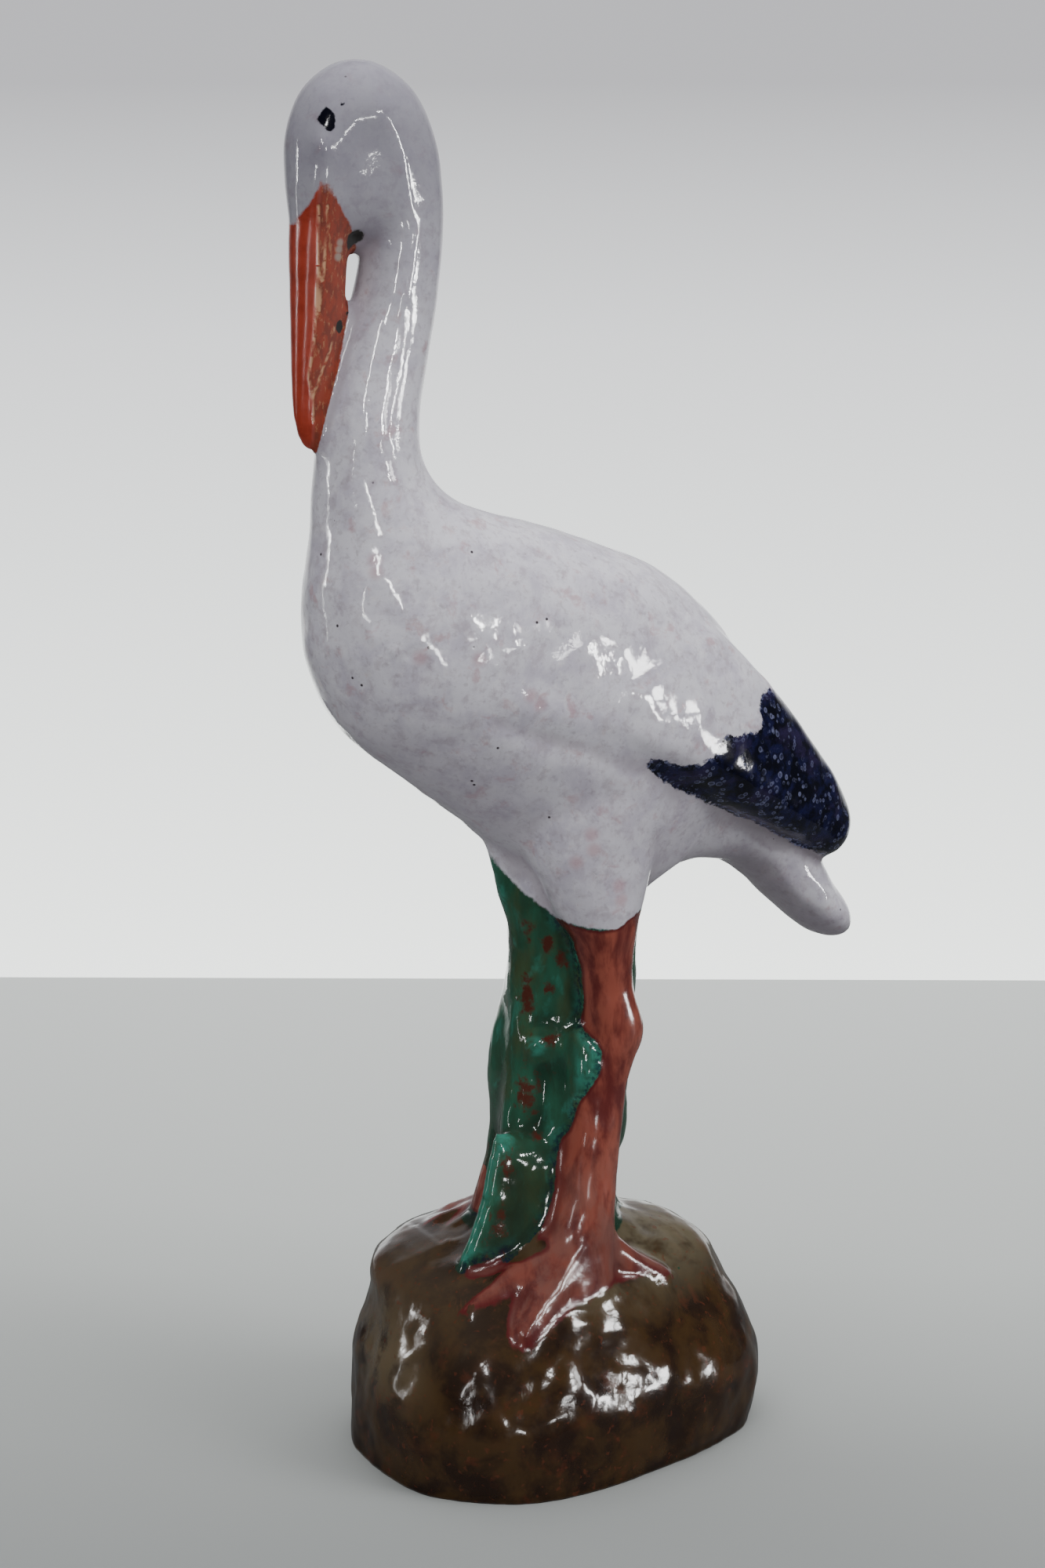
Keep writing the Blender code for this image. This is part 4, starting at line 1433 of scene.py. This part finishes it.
    def plant(self) -> Socket:
        """Paints the green plant: turquoise runs, iron blotches, a speckled rim against the leg, and painted
        shade low down.

        Returns:
            The colour.
        """
        glaze = COPPER_GREEN_GLAZE
        # mask of painted shade low on the plant, away from its ridges
        low = self.mask("height", 82 * MM, 66 * MM, self.mask("crest", 0.10, 0.0))
        iron = add(self.tree, "TexNoise", {"Vector": self.where, "Scale": MM_PER_M / self.iron_mm,
                                           "Detail": 5.0, "Roughness": 0.65})
        gain, shift = self.iron_wander
        iron = add(self.tree, "Math", {0: iron, 1: gain, 2: shift}, operation="MULTIPLY_ADD")
        iron = add(self.tree, "Math", {0: iron, 1: self.parts["rust"]}, operation="ADD")
        return self.coats(
            glaze.pooled,
            (glaze.even, self.patches(6.0, 0.35, 0.65, stretch=(1.0, 1.0, 0.4)), 1.0),
            ("#50502E", self.patches(7.0, 0.46, 0.70, stretch=(1.0, 1.0, 0.4)), 0.5),
            # thin over patches, ridges, and beside the leg
            (glaze.thin, self.patches(4.0, 0.54, 0.72, stretch=(1.0, 1.0, 0.5)), 0.35),
            (glaze.thin, self.mask("crest", 0.06, 0.14, self.patches(3.0, 0.26, 0.56)), 0.62),
            (glaze.thin, self.mask("leg", -3.4, -1.4, self.patches(4.0, 0.40, 0.62)), 0.5),
            # pooled in hollows, and painted shade low down, most of all on the cut leaf
            ("#16281E", self.mask("crest", 0.0, -0.08), 0.6),
            ("#1E2E22", low, 0.5),
            ("#241E16", self.mask("across", -11 * MM, -17 * MM, low), 0.5),
            (IRON_BLOTCH, self.mask(iron, -0.25, 0.75), 0.9),
            (IRON_BLOTCH, self.patches(3.0, 0.62, 0.72, stretch=(1.0, 1.0, 0.5)), 0.6),
            ("#141A30", self.mask("leg", -2.6, -0.3, self.patches(0.9, 0.45, 0.58)), 0.75))

    def rock(self) -> Socket:
        """Paints the mound: brown with reddish clouds and specks, with a painted sheen on its top, its upper
        left and its front end.

        Returns:
            The colour.
        """
        glaze = BROWN_GLAZE
        # mask of the painted sheen on the mound's top
        top = self.mask("height", 30 * MM, 47 * MM, self.patches(12.0, 0.30, 0.55),
                        self.mask("across", -22 * MM, 4 * MM))
        # painted sheen: a pale mirrored glow on the mound's upper left and on its front end
        left_sheen = self.mask("height", 20 * MM, 44 * MM, self.mask("across", -14 * MM, -40 * MM))
        front_end_sheen = self.mask("height", 12 * MM, 32 * MM, self.mask("across", -37 * MM, -47 * MM),
                          self.patches(9.0, 0.30, 0.55))
        return self.coats(
            glaze.pooled,
            (glaze.even, self.patches(9.0, 0.36, 0.66), 1.0),
            ("#52291A", self.patches(5.0, 0.56, 0.72), 0.55),
            # painted sheen: greyish on the top
            (glaze.thin, top, 0.85),
            ("#5A3420", self.mask("crest", 0.03, 0.09), 0.4),
            # painted sheen on the upper left and the front end
            ("#5E5446", left_sheen, 0.32),
            ("#8C8068", front_end_sheen, 0.55),
            ("#5E3020", self.patches(1.5, 0.64, 0.74, 1.0), 0.5))

    def material(self) -> bpy.types.Material:
        """Builds the glazed and painted material.

        Returns:
            The material.
        """
        made = bpy.data.materials.new("painted_tin_glaze")
        made.use_nodes = True
        tree = self.tree = made.node_tree
        self.where = add(tree, "TexCoord", out="Object")
        self.parts = {name: add(tree, "Attribute", out="Fac", attribute_name=name) for name in self.laid_out}
        for name, axis in (("across", "X"), ("height", "Z")):
            self.parts[name] = add(tree, "SeparateXYZ", {0: self.where}, out=axis)
        brush = add(tree, "TexNoise", {"Vector": self.where, "Scale": MM_PER_M / self.brush_mm, "Detail": 4.0,
                                       "Roughness": 0.7})
        self.ragged = add(tree, "Math", {0: brush, 1: self.brush_reach, 2: -self.brush_reach / 2},
                          operation="MULTIPLY_ADD")
        colour, rough = self.white(), WHITE_TIN_GLAZE.roughness
        for name, paint, glaze, soft, ragged in (
                ("wing", self.wing_ends(), COBALT_GLAZE, 0.25, 1.7),
                ("eye", COBALT_GLAZE.pooled, COBALT_GLAZE, 0.15, 0.6),
                ("mound", self.rock(), BROWN_GLAZE, 0.4, 0.6),
                ("plant", self.plant(), COPPER_GREEN_GLAZE, 0.3, 0.7),
                ("leg", self.legs(), MANGANESE_PINK_GLAZE, 0.25, 0.7),
                ("bill", self.bill(), IRON_RED_ENAMEL, 0.25, 0.5)):
            mask = self.painted(name, soft, ragged)
            colour = self.coats(colour, (paint, mask, 1.0))
            rough = add(tree, "Mix", {0: mask, 2: rough, 3: glaze.roughness}, data_type="FLOAT")
        # bare clay in the pits by the bill's slit, painted nearly black as their shade
        bare_and_shaded = add(tree, "Math", {0: self.ragged, 1: 0.4, 2: self.parts["raw"]}, operation="MULTIPLY_ADD")
        bare_and_shaded = self.mask(bare_and_shaded, -0.02, 0.18)
        colour = self.coats(colour, (BARE_CLAY_IN_SHADE, bare_and_shaded, 1.0))
        on_bill = self.painted("bill", 0.3, 0.3)
        worn = add(tree, "Math", {0: self.mask("flank", -0.6, 0.6, on_bill), 1: bare_and_shaded}, operation="MAXIMUM")
        rough = add(tree, "Mix", {0: worn, 2: rough, 3: self.dull}, data_type="FLOAT")
        cut = add(tree, "Mix", {0: on_bill, 2: 1.0, 3: self.mask("incised", 0.0, 0.55)}, data_type="FLOAT")
        cut = add(tree, "Bump", {"Height": cut, "Distance": self.groove_depth_mm * MM, "Strength": 0.8})
        peel = add(tree, "TexNoise", {"Vector": self.where, "Scale": MM_PER_M / self.orange_peel_mm,
                                      "Detail": 3.0})
        peel = add(tree, "Bump", {"Height": peel, "Distance": self.peel_depth_mm * MM, "Strength": 0.5,
                                  "Normal": cut})
        shader = tree.nodes["Principled BSDF"]
        for name, socket in (("Base Color", colour), ("Roughness", rough), ("Normal", peel)):
            tree.links.new(socket, shader.inputs[name])
        shader.inputs["IOR"].default_value = self.index
        return made


# The whole figurine

def read(elements: bpy.types.bpy_prop_collection, name: str, width: int, kind: type = np.float32
         ) -> np.ndarray:
    """Reads one property of a mesh's elements.

    Args:
        elements: the points, edges or normals.
        name: the property.
        width: how many numbers it holds for each element.
        kind: the type of those numbers.

    Returns:
        One row an element.
    """
    found = np.empty(len(elements) * width, kind)
    elements.foreach_get(name, found)
    return found.reshape(-1, width)


def evened(values: np.ndarray, edges: np.ndarray, share: float | np.ndarray) -> np.ndarray:
    """Moves each point's values towards the mean of its neighbours.

    Args:
        values: one row a point.
        edges: the two points of each edge.
        share: the share of the way that they move, for all points or for each.

    Returns:
        The values moved.
    """
    a, b = edges[:, 0], edges[:, 1]
    count = len(values)
    degree = np.bincount(a, minlength=count) + np.bincount(b, minlength=count)
    total = np.stack([np.bincount(a, values[b, k], count) + np.bincount(b, values[a, k], count)
                      for k in range(values.shape[1])], axis=1)
    return values + share * (total / degree[:, None] - values)


@dataclass
class Figurine:
    """The one fired piece: all forms joined to one skin, with its paint laid out on it."""

    pose: Pose = field(default_factory=Pose)
    mound: Mound = field(default_factory=Mound)
    borders: PaintedBorders = field(default_factory=PaintedBorders)
    relief: Relief = field(default_factory=Relief)
    paint: PaintedSkin = field(default_factory=PaintedSkin)
    voxel: float = 0.90 * MM
    settling: int = 15
    settling_share: float = 0.5
    polishing: int = 9
    polish: tuple[float, float] = (0.6, -0.62)
    cheek: tuple[float, float, float, float] = (-42.5, 229.0, 9.5, 17.0)
    cheek_aside: float = 4.0
    cheek_edge: float = 2.5
    cheek_smoothing: int = 70
    crest_smoothing: int = 6
    crest_gain: float = 2.6
    weld: float = 0.01 * MM

    def forms(self) -> list[Form]:
        """Builds all forms of the figurine.

        Returns:
            The closed forms, which cut into each other.
        """
        maker = Modeller(self.pose)
        return [self.mound.form(), *Bird(maker).forms(), *Legs(maker, self.mound).forms(),
                *Plant(maker).forms()]

    def skin(self, forms: Iterable[Form]) -> bpy.types.Object:
        """Joins forms into one closed skin of even quads.

        Args:
            forms: the closed forms, which cut into each other.

        Returns:
            The figurine's object.
        """
        mesh = bmesh.new()
        for form in forms:
            corners = [mesh.verts.new(p) for p in form.points]
            for face in form.faces:
                mesh.faces.new([corners[i] for i in face])
        data = bpy.data.meshes.new("stork")
        mesh.to_mesh(data)
        mesh.free()
        loose = bpy.data.objects.new("stork_loose", data)
        bpy.context.scene.collection.objects.link(loose)
        joined = loose.modifiers.new("joined", "REMESH")
        joined.mode = "VOXEL"
        joined.voxel_size = self.voxel
        bpy.context.view_layer.update()
        seen = loose.evaluated_get(bpy.context.evaluated_depsgraph_get())
        fine = bpy.data.meshes.new_from_object(seen)
        bpy.data.objects.remove(loose)
        fine.name = "stork"
        stork = bpy.data.objects.new("stork_figurine_glazed", fine)
        bpy.context.scene.collection.objects.link(stork)
        return stork

    def settle(self, points: np.ndarray, edges: np.ndarray) -> np.ndarray:
        """Softens the joins between the forms as slip and glaze do, then polishes ripples away.

        Args:
            points: the skin's points, in metres.
            edges: the two points of each edge.

        Returns:
            The points moved.
        """
        for _ in range(self.settling):
            points = evened(points, edges, self.settling_share)
        for _ in range(self.polishing):
            for share in self.polish:
                points = evened(points, edges, share)
        x, y, z = self.pose.drawn(points).T
        cheek_x, cheek_z, half_length, half_height = self.cheek
        inside = 1.0 - np.hypot((x - cheek_x) / half_length, (z - cheek_z) / half_height)
        share = self.settling_share * np.clip(self.cheek_edge * inside, 0.0, 1.0)
        share *= np.clip(np.abs(y) - self.cheek_aside, 0.0, 1.0)
        for _ in range(self.cheek_smoothing):
            points = evened(points, edges, share[:, None])
        return points

    def crests(self, points: np.ndarray, normals: np.ndarray, edges: np.ndarray) -> np.ndarray:
        """Measures how much the skin stands out at each point.

        Args:
            points: the skin's points, in metres.
            normals: its normal at each.
            edges: the two points of each edge.

        Returns:
            One number a point, about one over the radius in steps, below zero in hollows.
        """
        bulge = -((evened(points, edges, 1.0) - points) * normals).sum(axis=1)[:, None]
        for _ in range(self.crest_smoothing):
            bulge = evened(bulge, edges, 1.0)
        return bulge[:, 0] * self.crest_gain * self.pose.step / self.voxel ** 2

    def measured(self, points: np.ndarray, forms: Iterable[Form]) -> Depths:
        """Measures the distance of each point of the skin to the forms of each zone.

        Args:
            points: the skin's points, in metres.
            forms: the closed forms it was joined from.

        Returns:
            One distance a point for each zone, in steps, negative inside the forms.
        """
        reach = FAR_AWAY * self.pose.step
        found = {zone: np.full(len(points), reach) for zone in Zone}
        for form in forms:
            found[form.zone] = np.minimum(found[form.zone], form.depth(points, reach))
        return {zone: depth / self.pose.step for zone, depth in found.items()}

    def cut_level(self, data: bpy.types.Mesh) -> None:
        """Cuts a mesh off flat at the table and closes its underside.

        Args:
            data: the mesh, which is changed.
        """
        mesh = bmesh.new()
        mesh.from_mesh(data)
        cut = bmesh.ops.bisect_plane(mesh, geom=mesh.verts[:] + mesh.edges[:] + mesh.faces[:],
                                     plane_co=(0, 0, 0), plane_no=(0, 0, -1), clear_outer=True,
                                     dist=self.weld)
        rim = [e for e in cut["geom_cut"] if isinstance(e, bmesh.types.BMEdge)]
        bmesh.ops.edgeloop_fill(mesh, edges=rim)
        mesh.to_mesh(data)
        mesh.free()

    def build(self) -> bpy.types.Object:
        """Makes the whole figurine with its paint layout, flat on the table.

        Returns:
            The figurine's object.
        """
        forms = self.forms()
        stork = self.skin(forms)
        data = stork.data
        edges = read(data.edges, "vertices", 2, np.int32)
        points = self.settle(read(data.vertices, "co", 3).astype(float), edges)
        data.vertices.foreach_set("co", points.astype(np.float32).ravel())
        data.update()
        normals = read(data.vertex_normals, "vector", 3).astype(float)
        depths = self.measured(points, forms)
        grid = self.pose.drawn(points)
        points += normals * (self.relief.lift(grid, depths) * self.pose.step)[:, None]
        data.vertices.foreach_set("co", points.astype(np.float32).ravel())
        crest = self.crests(points, normals, edges)
        for name, values in PaintLayout(self.borders, grid, depths).parts(normals, crest).items():
            layer = data.attributes.new(name, "FLOAT", "POINT")
            layer.data.foreach_set("value", values.astype(np.float32))
        self.cut_level(data)
        data.shade_smooth()
        data.update()
        return stork

    def dress(self, stork: bpy.types.Object) -> None:
        """Glazes and paints the skin."""
        stork.data.materials.clear()
        stork.data.materials.append(self.paint.material())


# The studio

@dataclass(frozen=True)
class Pane:
    """One bright pane of a window, that only the glaze mirrors.

    Its bearings run in degrees from -Y towards +X, its levels in metres over the table.
    """

    start: float
    stop: float
    foot: float
    head: float
    brightness: float
    distance: float = 0.8


@dataclass(frozen=True)
class Lamp:
    """A soft square light that the glaze doesn't mirror, with where it hangs and what it faces."""

    name: str
    size: float
    brightness: float
    at: Row
    aim: Row = (0.0, 0.0, 0.15)
    seen: bool = True


@dataclass
class Studio:
    """A pale table and wall, soft daylight from above, and the windows that the glaze mirrors."""

    azimuth: float = -26.0
    pitch: float = 12.0
    distance: float = 0.690
    eye: float = 0.295
    yaw: float = -0.6676
    lens: float = 75.0
    sensor: float = 36.0
    table_front: float = -0.14
    table_back: float = 0.38
    table_half_width: float = 0.28
    flag_level: float = 0.0004
    wall_radius: float = 1.7
    wall_half_arc: float = 46.0
    wall_levels: tuple[float, float] = (-1.2, 1.6)
    wall_fade: tuple[float, float] = (1.10, 1.60)
    wall_panels: int = 48
    room_light: float = 0.10
    panes: tuple[Pane, ...] = (
        Pane(33, 35, 0.10, 0.30, 120),
        Pane(13, 15.6, 0.31, 0.37, 150),
        Pane(19, 25, 0.32, 0.42, 30),
        Pane(45, 56, 0.02, 0.11, 60),
        Pane(42, 46, 0.13, 0.20, 60),
        Pane(37, 45, 0.19, 0.238, 60, 0.25),
        Pane(3, 8, 0.15, 0.20, 40),
        Pane(-35.2, -33, 0.33, 0.44, 100),
        Pane(-46, -43.6, 0.46, 0.60, 80),
        Pane(-17, -14, 0.05, 0.12, 60),
        Pane(-58.6, -57.4, 0.10, 0.26, 50),
        Pane(-115.5, -114, 0.20, 0.34, 70),
        Pane(-118.5, -117, 0.04, 0.44, 12),
    )

    @property
    def ahead(self) -> Vector:
        """The level direction in which the camera looks."""
        turn = math.radians(self.azimuth)
        return Vector((-math.sin(turn), math.cos(turn), 0.0))

    def placed(self, name: str, data: bpy.types.ID, at: Row = (0.0, 0.0, 0.0), turn: Row = (0.0, 0.0, 0.0)
               ) -> bpy.types.Object:
        """Puts something into the scene.

        Args:
            name: the object's name.
            data: its mesh, light or camera.
            at: its place, in metres.
            turn: its rotation, in radians.

        Returns:
            The object.
        """
        made = bpy.data.objects.new(name, data)
        made.location = at
        made.rotation_euler = turn
        bpy.context.scene.collection.objects.link(made)
        return made

    def camera(self) -> bpy.types.Object:
        """Sets the camera at the photograph's angle.

        Returns:
            The camera.
        """
        data = bpy.data.cameras.new("camera")
        data.lens = self.lens
        data.sensor_width = self.sensor
        data.clip_start = 0.01
        at = self.ahead * -self.distance + Vector((0.0, 0.0, self.eye))
        turn = (math.radians(90.0 - self.pitch), 0.0, math.radians(self.azimuth - self.yaw))
        made = bpy.context.scene.camera = self.placed("camera", data, at, turn)
        return made

    def graded(self, name: str, kind: str, axis: Vector, stops: Sequence[tuple[float, str, float]]
               ) -> bpy.types.Material:
        """A stage material whose colour changes along one direction.

        Args:
            name: the material's name.
            kind: the shader node that takes the colour, without the words that all start with.
            axis: the direction, as a vector of length 1.
            stops: the distance along it in metres, the colour and its strength at each.

        Returns:
            The material.
        """
        made = bpy.data.materials.new(name)
        made.use_nodes = True
        tree = made.node_tree
        tree.nodes.remove(tree.nodes["Principled BSDF"])
        spot = add(tree, "TexCoord", out="Object")
        along = add(tree, "VectorMath", {0: spot, 1: axis}, out="Value", operation="DOT_PRODUCT")
        first, last = stops[0][0], stops[-1][0]
        share = add(tree, "MapRange", {"Value": along, "From Min": first, "From Max": last})
        ramp = add(tree, "ValToRGB", {0: share})
        points = ramp.node.color_ramp.elements
        for i, (place, code, strength) in enumerate(stops):
            at = (place - first) / (last - first)
            point = points[0] if i == 0 else points[-1] if i == len(stops) - 1 else points.new(at)
            point.position = at
            point.color = (*(strength * part for part in linear(code)[:3]), 1.0)
        tree.links.new(add(tree, kind, {"Color": ramp}), tree.nodes["Material Output"].inputs["Surface"])
        return made

    def staged(self, name: str, mesh: bmesh.types.BMesh, look: bpy.types.Material) -> bpy.types.Object:
        """Makes an object of the stage.

        Args:
            name: the object's name.
            mesh: its shape, which is freed.
            look: its material.

        Returns:
            The object.
        """
        data = bpy.data.meshes.new(name)
        mesh.to_mesh(data)
        mesh.free()
        data.materials.append(look)
        made = self.placed(name, data)
        return made

    def spread(self, name: str, level: float, look: bpy.types.Material) -> bpy.types.Object:
        """Spreads one cloth over the table.

        Args:
            name: the cloth's name.
            level: its height over the table.
            look: its material.

        Returns:
            The cloth.
        """
        ahead = self.ahead
        aside = Vector((ahead.y, -ahead.x, 0.0))
        front, back, half = self.table_front, self.table_back, self.table_half_width
        mesh = bmesh.new()
        mesh.faces.new([mesh.verts.new(ahead * run + aside * across + Vector((0.0, 0.0, level)))
                        for run, across in ((front, -half), (front, half), (back, half), (back, -half))])
        return self.staged(name, mesh, look)

    def table(self) -> None:
        """Sets the table under a pale cotton cloth, with its far edge straight across the picture, and
        painted shade towards its front.

        The glaze mirrors it darker than it is, as a dark flag held over the cloth would make it.
        """
        front, back = self.table_front, self.table_back
        # painted shade: the cloth darkens towards the front, where less light falls
        pale = ((front, "#868989", 1.0), (-0.02, "#9DA09F", 1.0), (0.10, "#C0C4C2", 1.0),
                (back, "#E2E6E4", 1.0))
        dark = ((front, "#585A5A", 1.0), (back, "#6E7070", 1.0))
        self.spread("cloth", 0.0, self.graded("pale_cotton_cloth", "BsdfDiffuse", self.ahead, pale))
        flag = self.spread("flag", self.flag_level, self.graded("grey_flag", "BsdfDiffuse", self.ahead, dark))
        flag.visible_camera = flag.visible_diffuse = flag.visible_shadow = False

    def wall(self) -> None:
        """Sets a pale, glowing round wall far behind: painted light that lights nothing but shows in the
        glaze at a low angle.
        """
        turn = math.atan2(self.ahead.y, self.ahead.x)
        mesh = bmesh.new()
        feet = []
        for k in range(self.wall_panels + 1):
            angle = turn + math.radians(-self.wall_half_arc + 2 * self.wall_half_arc * k / self.wall_panels)
            x, y = self.wall_radius * math.cos(angle), self.wall_radius * math.sin(angle)
            feet.append([mesh.verts.new((x, y, z)) for z in self.wall_levels])
        for one, other in zip(feet, feet[1:]):
            mesh.faces.new((one[0], other[0], other[1], one[1]))
        # painted light: the wall's glow stands in for the light on it, brighter low down and dimmer towards
        # the top
        plaster = self.graded("glowing_plaster_wall", "Emission", Vector((0.0, 0.0, 1.0)),
                              ((-0.40, "#E9EDEA", 3.2), (-0.16, "#E4E8E6", 2.6), (0.12, "#DCDEE0", 1.9),
                               (0.30, "#D6D6DA", 1.05), (1.2, "#D0D0D4", 0.8)))
        tree = plaster.node_tree
        spot = tree.nodes["Texture Coordinate"].outputs["Object"]
        # painted light fading to dark towards the ends of the wall
        depth = add(tree, "VectorMath", {0: spot, 1: self.ahead}, out="Value", operation="DOT_PRODUCT")
        near, far = self.wall_fade
        fade = add(tree, "MapRange", {"Value": depth, "From Min": near, "From Max": far},
                   interpolation_type="SMOOTHSTEP")
        tree.links.new(fade, tree.nodes["Emission"].inputs["Strength"])
        made = self.staged("wall", mesh, plaster)
        made.visible_diffuse = made.visible_shadow = False

    def light(self, name: str, width: float, tall: float, brightness: float, at: Vector, aim: Vector
              ) -> bpy.types.Object:
        """Hangs an area light.

        Args:
            name: the light's name.
            width: its width, in metres.
            tall: its height, in metres.
            brightness: its brightness, which its size doesn't change.
            at: its middle.
            aim: the point that it faces.

        Returns:
            The light.
        """
        data = bpy.data.lights.new(name, "AREA")
        data.shape = "RECTANGLE"
        data.size, data.size_y = width, tall
        data.energy = brightness * math.pi * width * tall
        return self.placed(name, data, at, (aim - at).to_track_quat("-Z", "Y").to_euler())

    def windows(self) -> None:
        """Hangs the panes, upright and facing the figurine, for the glaze to mirror."""
        for i, pane in enumerate(self.panes):
            turn = math.radians((pane.start + pane.stop) / 2)
            at = Vector((math.sin(turn), -math.cos(turn), 0.0)) * pane.distance
            at.z = (pane.foot + pane.head) / 2
            width = 2 * pane.distance * math.tan(math.radians(pane.stop - pane.start) / 2)
            made = self.light(f"pane_{i}", width, pane.head - pane.foot, pane.brightness, at,
                              Vector((0.0, 0.0, at.z)))
            made.visible_diffuse = False

    def daylight(self) -> None:
        """Hangs the soft lights, and lights the room a little."""
        for lamp in (
                Lamp("skylight", 1.5, 2.6, self.ahead * 0.1 + Vector((0.0, 0.0, 1.1)), (0.0, 0.0, 0.0)),
                Lamp("soft_key", 0.6, 7.2, (0.75, -0.75, 0.85)),
                Lamp("soft_fill", 0.9, 1.85, (-0.7, -0.8, 0.45)),
                Lamp("cloth_glow", 0.6, 0.2, (0.0, -0.05, 0.002), (0.0, -0.05, 1.0), seen=False)):
            made = self.light(lamp.name, lamp.size, lamp.size, lamp.brightness, Vector(lamp.at),
                              Vector(lamp.aim))
            made.visible_glossy = False
            made.visible_camera = lamp.seen
        world = bpy.context.scene.world = bpy.data.worlds.new("room")
        world.use_nodes = True
        room = world.node_tree.nodes["Background"]
        room.inputs["Color"].default_value = linear("#DDE0E4")
        room.inputs["Strength"].default_value = self.room_light

    def build(self) -> None:
        """Sets up the camera, the table, the wall and the lights."""
        self.camera()
        self.table()
        self.wall()
        self.windows()
        self.daylight()


def main() -> None:
    """Builds the figurine, dresses it and sets the studio."""
    figurine = Figurine()
    stork = figurine.build()
    figurine.dress(stork)
    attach(stork, "root")
    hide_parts("stork_figurine")
    report.info("%s: %d faces", stork.name, len(stork.data.polygons))
    Studio().build()
    bpy.context.view_layer.update()


if __name__ == "__main__":
    main()
